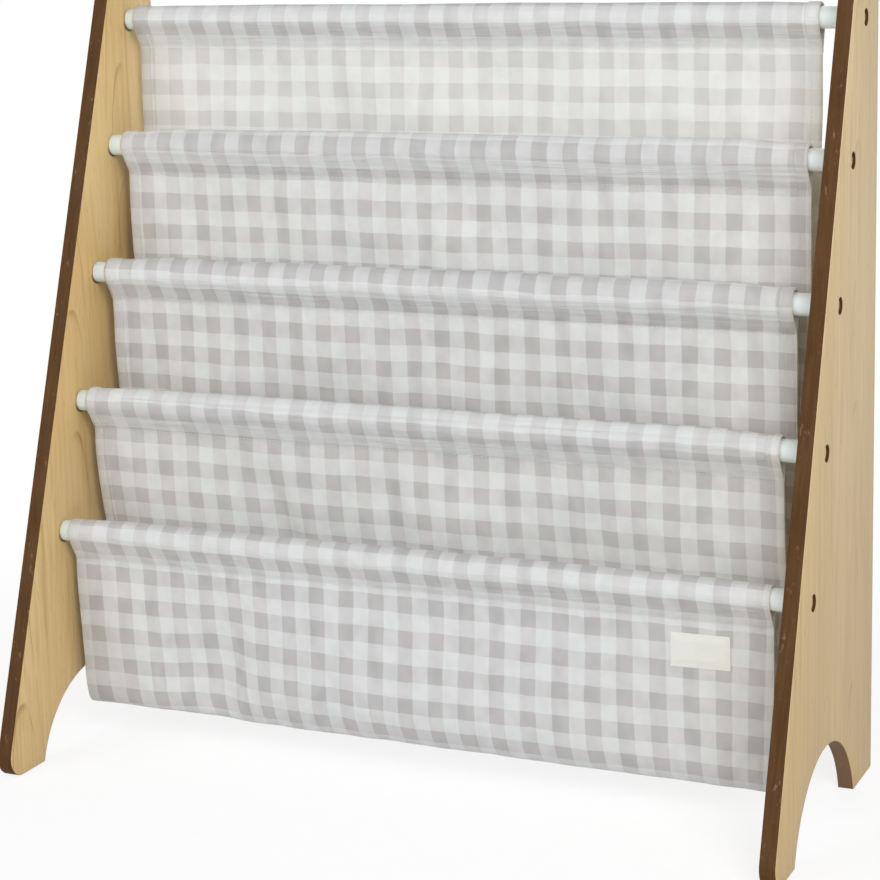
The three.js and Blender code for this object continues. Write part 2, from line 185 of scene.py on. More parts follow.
# The lowest pocket's corners, and the wave that its fold puts into the checks' rows
LOW_CORNER_DRAW = 0.0048
LOW_CORNER_DRAW_SHARE = 0.10
LOW_CORNER_SQUARE = 3.8
LOW_CORNER_SHARE = 0.16
LOW_CORNER_LIMIT = 1.25
SAG_BLUR = 6
ROW_WAVE = 0.0038
ROW_WAVE_PLACE = -0.170
ROW_WAVE_WIDTH = 0.027
ROW_WAVE_DRIFT = -0.35
FOLD_PLACE_DROP = 0.085
FOLD_FULL_DROP = {1: 0.070, 2: 0.070, 3: 0.070, 4: 0.070, 5: 0.125}

# How far the side edges of each visible wall stand to the right of the cloth's plain width: left, right
EDGE_SHIFT = {
    1: (-0.0006, -0.0034),
    2: (0.0032, -0.0022),
    3: (0.0028, -0.0033),
    4: (0.0008, -0.0030),
    5: (-0.0008, -0.0003),
}
EDGE_SHARE = 0.06

# How far the lowest pocket's bottom hangs below its plain line, at places across
LOW_POCKET_SAG = (
    (-0.285, -0.0050),
    (-0.260, -0.0052),
    (-0.230, -0.0030),
    (-0.200, -0.0017),
    (-0.150, 0.0007),
    (-0.080, -0.0014),
    (0.040, -0.0014),
    (0.100, 0.0),
    (0.160, 0.0013),
    (0.240, 0.0027),
    (0.280, 0.0034),
)

# Folds of each visible wall: place across, how far it stands out (or in), half width, and how far it
# drifts across on its way down
WALL_FOLDS = {
    1: (
        (-0.200, 0.0024, 0.025, 0.0),
        (-0.115, -0.0028, 0.020, 0.0),
        (-0.109, -0.0022, 0.009, 0.0),
        (-0.030, 0.0024, 0.030, 0.1),
        (0.045, -0.0016, 0.025, 0.0),
    ),
    2: (
        (-0.225, -0.0026, 0.010, 0.1),
        (-0.175, -0.0015, 0.018, 0.1),
        (-0.152, -0.0030, 0.010, 0.0),
        (-0.138, 0.0018, 0.018, 0.1),
        (-0.027, -0.0026, 0.010, 0.0),
        (-0.008, 0.0030, 0.030, 0.0),
        (0.230, 0.0026, 0.025, 0.0),
    ),
    3: (
        (-0.247, -0.0030, 0.011, 0.1),
        (-0.201, -0.0026, 0.009, 0.0),
        (-0.190, 0.0038, 0.025, 0.0),
        (-0.026, -0.0026, 0.010, 0.0),
        (0.035, 0.0020, 0.022, 0.1),
        (0.125, -0.0026, 0.034, 0.0),
        (0.222, 0.0030, 0.024, 0.0),
    ),
    4: (
        (-0.205, 0.0018, 0.024, 0.0),
        (-0.145, -0.0030, 0.024, 0.2),
        (-0.127, -0.0034, 0.011, 0.15),
        (-0.030, -0.0034, 0.010, 0.1),
        (0.025, 0.0036, 0.032, 0.0),
        (0.135, -0.0020, 0.034, 0.0),
    ),
    5: (
        (-0.172, -0.0042, 0.036, -0.35),
        (-0.152, -0.0034, 0.012, -0.35),
        (-0.235, 0.0016, 0.020, 0.0),
        (0.010, 0.0133, 0.112, 0.0),
        (-0.070, -0.0012, 0.012, 0.1),
    ),
}

# Hem: a fold on the inner face along both side edges
HEM_WIDTH = 0.0100
HEM_STITCH = 0.0082
HEM_STEP = 0.0008
EDGE_ROUNDING = 0.0012
STITCH_SINK_INSIDE = 0.00025
STITCH_SINK_OUTSIDE = 0.00015

# Gingham: the pitch of two checks down and across, and where a pale column and a dark row lie
CHECK_PITCH = 0.0248
CHECK_WIDTH = 0.0249
CHECK_BLUR = 0.012
WEAVE_PITCH = 0.0009
PALE_COLUMN = {1: 0.0021, 2: 0.0126, 3: -0.0106, 4: 0.0099}
SLEEVE_DARK_ROW = {1: 0.0082, 2: 0.0228, 3: 0.0170, 4: 0.0056, 5: 0.0110}
WALL_DARK_ROW = {1: 0.0315, 2: 0.0464, 3: 0.0408, 4: 0.0263, 5: 0.0334}
WALL_ROW_PITCH = {1: 0.0248, 2: 0.0246, 3: 0.0250, 4: 0.0257, 5: 0.0259}
LOW_WALL_ROWS = 4
ROW_TILT = {1: 0.0036, 2: 0.0022, 3: 0.0046, 4: 0.0022, 5: -0.0015}

# How far right of their plain places the columns lie: on each sleeve, and at the lowest wall's left,
# where the place across, the half width and the shift are given
SLEEVE_COLUMN_SHIFT = {1: 0.0016, 2: 0.0006, 3: 0.0015, 4: 0.0004, 5: 0.0014}
LOW_COLUMN_SHIFTS = ((-0.235, 0.055, 0.0026), (-0.160, 0.022, 0.0024))

# Painted light: how much paler the cloth of each visible wall is painted, for the light that reaches some
# levels more than others, and how much lighter it is painted towards its foot, where the pocket's shade
# falls. On the sleeves the cloth lies double on the white rods, so less light goes through it there, and
# the sleeves are painted paler for that.
PAINTED_PALER = {1: 0.52, 2: 0.10, 3: 0.0, 4: 0.08}
PAINTED_PALER_SHARE = 0.50
SLEEVE_PAINTED_PALER = 0.06
FOOT_LIGHT = {1: 0.20, 2: 0.22, 3: 0.20, 4: 0.265, 5: 0.045}
INSIDE_LIGHT_DROPS = (0.035, 0.105)
OUTSIDE_LIGHT_DROPS = ((0.015, 0.055), (0.080, 0.130))

# Stitches
STITCH_PITCH = 0.0032
STITCH_LENGTH = 0.0024
STITCH_RADIUS = 0.00019
STITCH_CLEAR = 0.0001

# Label
LABEL_CELLS = 66
LABEL_HALF = 0.00025
LABEL_PUFF = 0.0004
LABEL_COCKLE = 0.0002
LABEL_STITCH = 0.0018
LABEL_RIB = 0.0006

# Wood and paint: the lines of the grain, and the places where light and shade are painted on: a warm
# shade halfway up the panels, light on the arch's cut edge, a contact shadow round each rod's end and
# light on the rods' left ends
MIDDLE_HEIGHT = 0.32
ARCH_SPREAD = 0.093
ARCH_WIDTH = 0.031
ARCH_PITCH = 0.098
ARCH_SWAY = 0.022
ARCH_DRIFT = 0.06
LEG_STEEPNESS = 12.0
# Painted light on the arch's cut edge, for the light that the floor throws up: its share and its zones
ARCH_EDGE_PAINTED_LIGHT = 0.58
ARCH_EDGE_LIGHT_ZONES = (("Z", 0.072, 0.058), ("Y", -0.100, -0.080), ("Y", 0.115, 0.100))
# Painted contact shadow round each rod's end: its width, its share, and its share above the rod
CONTACT_SHADOW_WIDTH = 0.0024
CONTACT_SHADOW_SHARE = 0.85
CONTACT_SHADOW_SHARE_ABOVE = 0.12
# Painted light towards the rods' left ends: where it begins and where it is full
ROD_PAINTED_LIGHT_ZONE = (-0.20, -0.29)

# Floor, world and lamps
FLOOR_CLEAR = 0.9
FLOOR_GLOW = 0.80
FLOOR_REACH = 6.0
FLOOR_DROP = -0.0002
WORLD_STRENGTH = 0.28
LAMP_TARGET = (0, 0, 0.3)

# Each lamp's name, place, size and power
LAMPS = (
    ("key", (1.5, -1.8, 1.5), 1.3, 39.4),
    ("fill", (-1.3, -2.0, 1.15), 1.5, 24.6),
    ("back", (-0.6, 2.2, 1.3), 1.8, 26),
)

# The camera, at the place from which the shelf is seen
CAMERA_PLACE = (0.73492, -1.60575, 0.65917)
CAMERA_YAW = 0.4218
CAMERA_PITCH = 0.1831
CAMERA_ROLL = -0.0233
CAMERA_LENS = 97.70
CAMERA_SENSOR = 36.0
CAMERA_SHIFT = -0.10
CAMERA_NEAR = 0.05
CAMERA_FAR = 50


def put_in_scene(name, data):
    """Makes an object that holds the data, at the scene's origin."""
    piece = bpy.data.objects.new(name, data)
    bpy.context.scene.collection.objects.link(piece)
    return piece


# Camera
def make_camera():
    """Turns the camera by its yaw, pitch and roll, and makes it the scene's own."""
    ahead = Vector((-math.sin(CAMERA_YAW), math.cos(CAMERA_YAW), 0))
    right = Vector((math.cos(CAMERA_YAW), math.sin(CAMERA_YAW), 0))
    up = Vector((0, 0, 1))
    look = math.cos(CAMERA_PITCH) * ahead - math.sin(CAMERA_PITCH) * up
    rise = math.sin(CAMERA_PITCH) * ahead + math.cos(CAMERA_PITCH) * up
    across = math.cos(CAMERA_ROLL) * right + math.sin(CAMERA_ROLL) * rise
    upward = -math.sin(CAMERA_ROLL) * right + math.cos(CAMERA_ROLL) * rise
    data = bpy.data.cameras.new("camera")
    data.lens = CAMERA_LENS
    data.sensor_width = CAMERA_SENSOR
    data.shift_y = CAMERA_SHIFT
    data.clip_start = CAMERA_NEAR
    data.clip_end = CAMERA_FAR
    camera = put_in_scene("camera", data)
    turn = Matrix((across, upward, -look)).transposed()
    camera.matrix_world = Matrix.Translation(CAMERA_PLACE) @ turn.to_4x4()
    bpy.context.scene.camera = camera


make_camera()
bpy.context.scene.view_settings.view_transform = "Standard"


# Node trees
def shade(red, green, blue):
    """A colour as seen on the screen, 0 to 255, as the linear colour that a socket takes."""
    shares = [value / 255 for value in (red, green, blue)]
    return tuple(v / 12.92 if v <= 0.04045 else ((v + 0.055) / 1.055) ** 2.4 for v in shares) + (1,)


class Nodes:
    """A node tree, with one short call for each node."""

    def __init__(self, tree):
        self.tree = tree

    def add(self, kind, sockets=(), **settings):
        """Adds a node; sockets gives an input's name or number and what goes in, a value or a socket."""
        node = self.tree.nodes.new(kind)
        for name, value in settings.items():
            setattr(node, name, value)
        for key, value in dict(sockets).items():
            self.feed(node.inputs[key], value)
        return node

    def feed(self, socket, value):
        if isinstance(value, bpy.types.NodeSocket):
            self.tree.links.new(value, socket)
        else:
            socket.default_value = value


class Shader(Nodes):
    """The tree of a material, or of the world."""

    def __init__(self, name, owners=None, end="Material"):
        owners = bpy.data.materials if owners is None else owners
        self.owner = owners.new(name)
        self.owner.use_nodes = True
        super().__init__(self.owner.node_tree)
        self.tree.nodes.clear()
        self.output = self.add("Output" + end)

    def add(self, kind, sockets=(), **settings):
        return super().add("ShaderNode" + kind, sockets, **settings)

    def math(self, operation, first, second=0.0):
        return self.add("Math", {0: first, 1: second}, operation=operation).outputs[0]

    def plus(self, first, second):
        return self.math("ADD", first, second)

    def minus(self, first, second):
        return self.math("SUBTRACT", first, second)

    def times(self, first, second):
        return self.math("MULTIPLY", first, second)

    def range(self, value, low, high, to_low=0.0, to_high=1.0, smooth=False):
        kind = "SMOOTHSTEP" if smooth else "LINEAR"
        sockets = {"Value": value, "From Min": low, "From Max": high, "To Min": to_low, "To Max": to_high}
        return self.add("MapRange", sockets, interpolation_type=kind).outputs[0]

    def mix(self, share, first, second, blend="MIX"):
        node = self.add("Mix", data_type="RGBA", blend_type=blend)
        for place, value in ((0, share), (6, first), (7, second)):
            self.feed(node.inputs[place], value)
        return node.outputs[2]

    def mapping(self, vector, scale, place=(0, 0, 0)):
        return self.add("Mapping", {"Vector": vector, "Location": place, "Scale": scale}).outputs[0]

    def noise(self, vector, scale, detail=2.0, roughness=0.5, distortion=0.0, place=(0, 0, 0)):
        """Soft noise with about as many hills in a metre as scale says for each axis."""
        sockets = {
            "Vector": self.mapping(vector, scale, place),
            "Scale": 1.0,
            "Detail": detail,
            "Roughness": roughness,
            "Distortion": distortion,
        }
        return self.add("TexNoise", sockets).outputs["Fac"]

    def object_place(self):
        """The place on the shelf, in metres, as every object sits at the origin."""
        return self.add("TexCoord").outputs["Object"]

    def parts(self, vector):
        return self.add("SeparateXYZ", {0: vector}).outputs

    def attribute(self, name):
        return self.add("Attribute", attribute_name=name).outputs["Fac"]

    def bump(self, height, distance, strength=1.0, under=None):
        node = self.add("Bump", {"Height": height, "Distance": distance, "Strength": strength})
        if under is not None:
            self.feed(node.inputs["Normal"], under)
        return node.outputs[0]

    def end(self, surface):
        self.feed(self.output.inputs[0], surface.outputs[0])
        return self.owner

    def finish(self, colour, roughness, normal, **direct):
        """Ends the tree in one Principled BSDF. The direct values are the same all over the surface."""
        sockets = {"Base Color": colour, "Roughness": roughness, "Normal": normal}
        sockets.update((name.replace("_", " "), value) for name, value in direct.items())
        return self.end(self.add("BsdfPrincipled", sockets))


# Finishes
def rod_contact_shadows(s, parts):
    """A painted contact shadow: a thin dark line where each rod's end meets the panel's inner face, heavier
    under it, where the rod's shade falls.
    """
    climb = s.minus(parts["Z"], ROD_HEIGHT[LOWEST])
    nearest = s.math("ROUND", s.math("DIVIDE", climb, ROD_RISE))
    nearest = s.math("MINIMUM", s.math("MAXIMUM", nearest, 0), LOWEST - 1)
    above = s.minus(climb, s.times(nearest, ROD_RISE))
    behind = s.minus(parts["Y"], ROD_DEPTH[LOWEST])
    behind = s.minus(behind, s.times(nearest, ROD_RISE * LEAN_BACK))
    square = s.plus(s.times(above, above), s.times(behind, behind))
    from_rod = s.minus(s.math("SQRT", square), ROD_RADIUS)
    rim = s.range(from_rod, CONTACT_SHADOW_WIDTH, CONTACT_SHADOW_WIDTH / 4, smooth=True)
    rim = s.times(rim, s.range(above, 0.0, -0.8 * ROD_RADIUS, CONTACT_SHADOW_SHARE_ABOVE, 1.0))
    inside = s.range(s.math("ABSOLUTE", parts["X"]), PANEL_INNER + 0.004, PANEL_INNER + 0.002)
    return s.times(rim, inside)


def plywood_face(name, pale, deep, line, middle_painted_shade, low_tone_and_shade, arch_place, arch_share):
    """A veneered face: calm upright grain, thin cathedral arches and short fine flecks.
    The tone taken on halfway up is a painted warm shade, the tone towards the floor is partly the
    veneer's own and partly painted shade, and arch_place is the depth and height of one arch's top."""
    s = Shader(name)
    place = s.object_place()
    parts = s.parts(place)
    sway = s.noise(place, (0, 7, 4))
    sway = s.times(s.minus(sway, 0.5), ARCH_SWAY)
    across = s.plus(s.minus(parts["Y"], arch_place[0]), sway)
    across = s.math("PINGPONG", across, ARCH_SPREAD / 2)
    square = s.times(across, across)
    leg = s.math("DIVIDE", s.times(square, across), s.plus(square, ARCH_WIDTH**2))
    drift = s.noise(place, (0, 3, 5), place=(0, 3, 1))
    drift = s.times(s.minus(drift, 0.5), ARCH_DRIFT)
    height = s.plus(s.minus(parts["Z"], arch_place[1]), drift)
    climb = s.plus(height, s.times(leg, LEG_STEEPNESS))
    ring = s.math("FRACT", s.math("DIVIDE", climb, ARCH_PITCH))
    fine = s.times(s.range(ring, 0.88, 0.975, smooth=True), s.range(ring, 0.975, 1.0, 1.0, 0.0))
    wide = s.times(s.range(ring, 0.35, 0.97, smooth=True), s.range(ring, 0.97, 1.0, 1.0, 0.0))
    broken = s.range(s.noise(place, (0, 26, 9), 3.0), 0.45, 0.62, smooth=True)
    near_top = s.range(across, 0.012, 0.034, 1.0, 0.35, smooth=True)
    fine = s.times(fine, near_top)
    arches = s.times(s.plus(fine, s.times(wide, 0.22)), broken)
    streaks = s.noise(place, (120, 260, 9), 4.0, 0.65, 0.4)
    broad = s.noise(place, (4, 20, 4), 3.0, place=(3, 1, 2))
    tone = s.plus(s.times(streaks, 0.45), s.times(broad, 0.55))
    colour = s.mix(s.range(tone, 0.34, 0.68), pale, deep)
    colour = s.mix(s.times(arches, arch_share), colour, line)
    veins = s.noise(place, (4, 105, 7), 2.0, 0.5, 0.6, place=(1, 5, 3))
    colour = s.mix(s.range(veins, 0.60, 0.72, 0.0, 0.6 * arch_share), colour, line)
    flecks = s.noise(place, (500, 700, 70), 2.0, 0.6)
    flecks = s.range(flecks, 0.64, 0.74)
    colour = s.mix(s.times(flecks, 0.42), colour, line)
    # Darker towards the floor: partly the veneer's own tone, partly painted shade
    colour = s.mix(s.range(parts["Z"], 0.52, 0.02), colour, low_tone_and_shade, "MULTIPLY")
    # Painted shade: a warm band halfway up the face
    from_middle = s.math("ABSOLUTE", s.minus(parts["Z"], MIDDLE_HEIGHT))
    colour = s.mix(s.range(from_middle, 0.14, 0.05, smooth=True), colour, middle_painted_shade, "MULTIPLY")
    # Painted contact shadow round each rod's end
    colour = s.mix(s.times(rod_contact_shadows(s, parts), CONTACT_SHADOW_SHARE), colour, shade(84, 60, 38))
    height = s.minus(s.times(streaks, 0.3), flecks)
    normal = s.bump(height, 0.00005, 0.5)
    roughness = s.range(streaks, 0.2, 0.8, 0.44, 0.58)
    return s.finish(colour, roughness, normal, Specular_IOR_Level=0.3)


def cut_edge(name):
    """The dark brown cut edge: streaks along the panel, burnt spots and a few pale scuffs, with painted
    light on the arch's edge.
    """
    s = Shader(name)
    place = s.object_place()
    streaks = s.noise(place, (420, 90, 14), 4.0, 0.65)
    broad = s.noise(place, (30, 22, 16), 3.0)
    tone = s.plus(s.times(streaks, 0.6), s.times(broad, 0.4))
    colour = s.mix(s.range(tone, 0.32, 0.68), shade(70, 44, 19), shade(92, 63, 34))
    specks = s.range(s.noise(place, (500, 260, 150)), 0.70, 0.76)
    colour = s.mix(s.times(specks, 0.5), colour, shade(150, 116, 90))
    rubbed = s.noise(place, (190, 90, 62), 3.0, 0.65, place=(1, 4, 2))
    colour = s.mix(s.range(rubbed, 0.655, 0.72, 0.0, 0.5), colour, shade(158, 118, 98))
    parts = s.parts(place)
    # Painted light: the arch's cut edge is painted paler, for the light that the floor throws up onto it
    zones = [s.range(parts[axis], outside, inside) for axis, outside, inside in ARCH_EDGE_LIGHT_ZONES]
    in_arch = s.times(s.times(zones[0], zones[1]), zones[2])
    colour = s.mix(s.times(in_arch, ARCH_EDGE_PAINTED_LIGHT), colour, shade(150, 120, 96))
    fine = s.noise(place, (1400, 900, 300))
    normal = s.bump(s.plus(streaks, s.times(fine, 0.5)), 0.00012, 0.7)
    return s.finish(colour, s.range(tone, 0.3, 0.7, 0.72, 0.58), normal, Specular_IOR_Level=0.15)


def white_paint(name):
    """Satin paint on the rods, with the wood's faint grain under it, and painted light on their left ends.
    """
    s = Shader(name)
    place = s.object_place()
    grain = s.noise(place, (14, 520, 520), 3.0, 0.6)
    broad = s.noise(place, (25, 70, 70))
    colour = s.mix(s.range(broad, 0.3, 0.7), shade(228, 239, 243), shade(222, 234, 238))
    # Painted light: whiter and cooler towards the left ends, where the lamps leave the rods greyer and the
    # wood's bounce warms them
    painted_light_left = s.range(s.parts(place)["X"], *ROD_PAINTED_LIGHT_ZONE, smooth=True)
    colour = s.mix(painted_light_left, colour, shade(234, 250, 255))
    rough = s.range(grain, 0.3, 0.7, 0.34, 0.44)
    normal = s.bump(grain, 0.00004, 0.6)
    return s.finish(colour, rough, normal, Coat_Weight=0.15, Coat_Roughness=0.25)


def plated_steel(name, bright, dull, rough_low, rough_high, metallic=0.75):
    """Plated fastener metal: turned rings of fine scratches and dull patches."""
    s = Shader(name)
    place = s.object_place()
    patches = s.noise(place, (300, 300, 300), 3.0)
    scratches = s.noise(place, (900, 2400, 700))
    colour = s.mix(s.range(patches, 0.35, 0.7), bright, dull)
    rough = s.range(scratches, 0.3, 0.7, rough_low, rough_high)
    normal = s.bump(scratches, 0.00002, 0.5)
    return s.finish(colour, rough, normal, Metallic=metallic)


def gingham(name):
    """Woven gingham: columns and rows of one grey thread on white, with the plain weave under it.
    The UV map holds real lengths along the cloth, so a pale check lies at each whole pitch. Light and
    shade are painted into it too: random dark patches for the shade of small folds, paler walls and
    sleeves, and light towards the walls' feet."""
    s = Shader(name)
    uv = s.add("UVMap", uv_map="cloth").outputs[0]
    waver = s.noise(uv, (90, 90, 1))
    parts = s.parts(uv)
    nudge = s.times(s.minus(waver, 0.5), 0.0013)
    bands = []
    for axis in ("X", "Y"):
        length = s.plus(parts[axis], nudge)
        turn = s.math("PINGPONG", s.math("DIVIDE", length, CHECK_PITCH), 0.5)
        bands.append(s.range(turn, 0.25 - CHECK_BLUR, 0.25 + CHECK_BLUR, smooth=True))
    both = s.times(s.plus(bands[0], bands[1]), 0.5)
    ramp = s.add("ValToRGB", {0: both})
    stops = ramp.color_ramp.elements
    stops[0].color = shade(213, 216, 215)
    stops[1].color = shade(183, 181, 180)
    half = stops.new(0.5)
    half.color = shade(204, 204, 204)
    slubs_across = s.noise(uv, (60, 2600, 1))
    slubs_along = s.noise(uv, (2600, 60, 1), place=(5, 2, 0))
    slubs = s.plus(slubs_across, slubs_along)
    colour = s.mix(s.range(slubs, 0.7, 1.3, 0.0, 0.08), ramp.outputs[0], shade(176, 174, 171))
    soft = s.noise(uv, (14, 14, 1))
    colour = s.mix(s.range(soft, 0.35, 0.7, 0.0, 0.05), colour, shade(200, 199, 196))
    patches = s.noise(uv, (42, 42, 1), place=(2, 7, 0))
    tint = s.mix(s.range(patches, 0.38, 0.62), shade(255, 252, 254), shade(252, 255, 255))
    colour = s.mix(0.4, colour, tint, "MULTIPLY")
    # Painted shade: random darker patches, heavier on the dark checks, for the shade of small folds
    mottle = s.noise(uv, (75, 60, 1), place=(4, 1, 0))
    colour = s.mix(s.range(mottle, 0.42, 0.66, 0.0, 0.12), colour, shade(150, 149, 150))
    fold_shade_patches = s.noise(uv, (60, 34, 1), 1.0, place=(8, 3, 0))
    fold_shade_patches = s.times(s.range(fold_shade_patches, 0.45, 0.70, 0.0, 0.32), both)
    colour = s.mix(fold_shade_patches, colour, shade(150, 149, 150))
    # Painted light: some levels' walls are painted paler for the light that reaches them more, and the
    # sleeves paler, where the cloth lies double on the white rods
    painted_paler = s.attribute("painted_paler")
    on_sleeve = s.attribute("sleeve")
    painted_paler = s.plus(s.times(painted_paler, PAINTED_PALER_SHARE), s.times(on_sleeve, SLEEVE_PAINTED_PALER))
    colour = s.mix(painted_paler, colour, shade(244, 246, 242))
    inside = s.attribute("inside")
    colour = s.mix(inside, colour, shade(255, 254, 252), "MULTIPLY")
    # Painted light: lighter towards each wall's foot, which lifts the pocket's shade there
    foot_light = s.plus(s.attribute("foot_light"), 1.0)
    colour = s.add("HueSaturation", {"Value": foot_light, "Color": colour}).outputs[0]
    threads = [s.math("SINE", s.times(parts[axis], 2 * math.pi / WEAVE_PITCH)) for axis in ("X", "Y")]
    weave = s.times(*threads)
    pucker = s.attribute("pucker")
    folds = s.noise(uv, (260, 260, 1))
    folds = s.times(folds, pucker)
    creases = s.noise(uv, (12, 210, 1), 1.0)
    creases = s.math("ABSOLUTE", s.minus(creases, 0.5))
    creases = s.times(s.range(creases, 0.0, 0.09, 1.0, 0.0, smooth=True), on_sleeve)
    normal = s.bump(folds, 0.0012, 0.5)
    normal = s.bump(creases, 0.0005, 0.32, normal)
    normal = s.bump(weave, 0.00005, 0.35, normal)
    normal = s.bump(slubs, 0.00008, 0.35, normal)
    return s.finish(colour, 0.85, normal, Sheen_Weight=0.15, Sheen_Roughness=0.5, Specular_IOR_Level=0.2)


def cotton_thread(name, colour_low, colour_high):
    """Twisted sewing thread in two close tones."""
    s = Shader(name)
    place = s.object_place()
    twist = s.noise(place, (2600, 2600, 2600))
    colour = s.mix(s.range(twist, 0.3, 0.7), colour_low, colour_high)
    return s.finish(colour, 0.7, s.bump(twist, 0.0001, 0.5), Sheen_Weight=0.1)


def label_tape(name):
    """Cream woven tape, left bare: a fine rib across it."""
    s = Shader(name)
    place = s.object_place()
    height = s.parts(place)["Z"]
    rib = s.math("SINE", s.times(height, 2 * math.pi / LABEL_RIB))
    speck = s.noise(place, (1800, 400, 1800), 3.0)
    soft = s.noise(place, (60, 60, 60))
    colour = s.mix(s.range(speck, 0.3, 0.7), shade(223, 224, 220), shade(217, 217, 210))
    colour = s.mix(s.range(soft, 0.4, 0.7, 0.0, 0.25), colour, shade(212, 210, 202))
    normal = s.bump(s.plus(rib, speck), 0.00005, 0.5)
    return s.finish(colour, 0.75, normal, Sheen_Weight=0.1)


# Each face's tones halfway up and towards the floor are painted shade, the low one partly the veneer's own
# tone
left_face = plywood_face(
    "maple_face_left",
    pale=shade(238, 208, 152),
    deep=shade(219, 185, 125),
    line=shade(162, 117, 63),
    middle_painted_shade=shade(251, 246, 238),
    low_tone_and_shade=shade(242, 242, 243),
    arch_place=(0.076, 0.548),
    arch_share=0.50,
)
right_face = plywood_face(
    "maple_face_right",
    pale=shade(229, 206, 162),
    deep=shade(214, 187, 141),
    line=shade(168, 130, 85),
    middle_painted_shade=shade(255, 255, 255),
    low_tone_and_shade=shade(240, 234, 220),
    arch_place=(-0.02, 0.30),
    arch_share=0.24,
)
brown_edge = cut_edge("brown_cut_edge")
rod_paint = white_paint("satin_white_paint")
bolt_metal = plated_steel("zinc_yellow_bolt", shade(226, 206, 164), shade(204, 182, 138), 0.4, 0.55, 0.3)
insert_metal = plated_steel("zinc_insert", shade(190, 190, 186), shade(160, 160, 156), 0.35, 0.5)
cloth = gingham("gingham_cotton")
thread = cotton_thread("seam_thread", shade(196, 196, 194), shade(206, 206, 204))
tape = label_tape("cream_label_tape")


# Mesh helpers
def mesh_piece(name, points, faces, materials, uv=None, finish_index=None, sharp=30):
    """Makes a smooth-shaded object at the origin; edges over the sharp angle, in degrees, stay crisp."""
    mesh = bpy.data.meshes.new(name)
    mesh.from_pydata([tuple(p) for p in points], [], [tuple(f) for f in faces])
    for material in materials:
        mesh.materials.append(material)
    if finish_index is not None:
        mesh.polygons.foreach_set("material_index", np.array(finish_index, np.int32))
    if uv is not None:
        layer = mesh.uv_layers.new(name="cloth")
        corner = np.zeros(len(mesh.loops), np.int32)
        mesh.loops.foreach_get("vertex_index", corner)
        layer.data.foreach_set("uv", np.asarray(uv, np.float32)[corner].ravel())
    mesh.polygons.foreach_set("use_smooth", np.ones(len(mesh.polygons), bool))
    mesh.set_sharp_from_angle(angle=math.radians(sharp))
    mesh.validate()
    return put_in_scene(name, mesh)


def ring_faces(first, second, count):
    """Quads between two rings of points, given by the index of each ring's first point."""
    return [
        (first + i, first + (i + 1) % count, second + (i + 1) % count, second + i) for i in range(count)
    ]


def closed_sheet(name, facing_in, facing_out, material, uv=None):
    """A closed sheet whose two faces are grids of points, joined by a rim."""
    rows, columns = facing_in.shape[:2]
    total = rows * columns
    quads = []
    for i in range(rows - 1):
        for j in range(columns - 1):
            a = i * columns + j
            b = a + 1
            c = a + columns
            d = c + 1
            quads.append((a, c, d, b))
            quads.append((total + a, total + b, total + d, total + c))
    rim = [i * columns for i in range(rows)]
    rim += [(rows - 1) * columns + j for j in range(1, columns)]
    rim += [i * columns + columns - 1 for i in range(rows - 2, -1, -1)]
    rim += list(range(columns - 2, 0, -1))
    quads += [(b, a, total + a, total + b) for a, b in zip(rim, rim[1:] + rim[:1])]
    points = np.concatenate([facing_in.reshape(-1, 3), facing_out.reshape(-1, 3)])
    return mesh_piece(name, points, quads, [material], uv=uv, sharp=CLOTH_SHARP_ANGLE)


# Side panels
def front_edge(height):
    """How deep the panel's leaning front edge lies at a height."""
    return ROD_DEPTH[1] - ROD_SETBACK - (ROD_HEIGHT[1] - height) * LEAN_BACK


def arc_points(centre, radius, start, end, steps):
    """Points along an arc, both ends included."""
    return [
        centre + radius * Vector((math.cos(turn), math.sin(turn)))
        for turn in np.linspace(start, end, steps + 1)
    ]


def corner_points(before, corner, after, radius):
    """The arc that rounds a corner of the outline, from one side to the other."""
    to_before = (before - corner).normalized()
    to_after = (after - corner).normalized()
    half = to_before.angle(to_after) / 2
    centre = corner + (to_before + to_after).normalized() * (radius / math.sin(half))
    reach = radius / math.tan(half)
    start = corner + to_before * reach - centre
    end = corner + to_after * reach - centre
    start_turn = math.atan2(start.y, start.x)
    end_turn = math.atan2(end.y, end.x)
    if end_turn < start_turn:
        end_turn += 2 * math.pi
    return arc_points(centre, radius, start_turn, end_turn, CORNER_STEPS)


def panel_outline():
    """Points of depth and height, from the toe along the floor, up the back and down the front."""
    toe = Vector((front_edge(0), 0))
    heel = Vector((REAR, 0))
    top_rear = Vector((REAR, TOP))
    top_front = Vector((front_edge(TOP), TOP))
    arch_front = FRONT + FRONT_FOOT_LENGTH
    arch_rear = REAR - REAR_FOOT_LENGTH
    half_span = (arch_rear - arch_front) / 2
    radius = (half_span**2 + ARCH_HEIGHT**2) / (2 * ARCH_HEIGHT)
    centre = Vector((arch_front + half_span, ARCH_HEIGHT - radius))
    start = math.atan2(-centre.y, -half_span)
    end = math.atan2(-centre.y, half_span)
    outline = corner_points(top_front, toe, heel, PANEL_TOE_RADIUS)
    outline += arc_points(centre, radius, start, end, ARCH_STEPS)
    outline += corner_points(toe, heel, top_rear, PANEL_HEEL_RADIUS)
    outline += corner_points(heel, top_rear, top_front, PANEL_TOP_RADIUS)
    outline += corner_points(top_rear, top_front, toe, PANEL_TOP_RADIUS)
    return outline


def drawn_in(outline, distance):
    """The outline moved inwards by a distance, square to its sides."""
    count = len(outline)
    moved = []
    for i, point in enumerate(outline):
        before = (point - outline[i - 1]).normalized()
        after = (outline[(i + 1) % count] - point).normalized()
        inward = Vector((-before.y - after.y, before.x + after.x)) / 2
        moved.append(point + inward * (distance / max(inward.length_squared, MITRE_LIMIT)))
    return moved


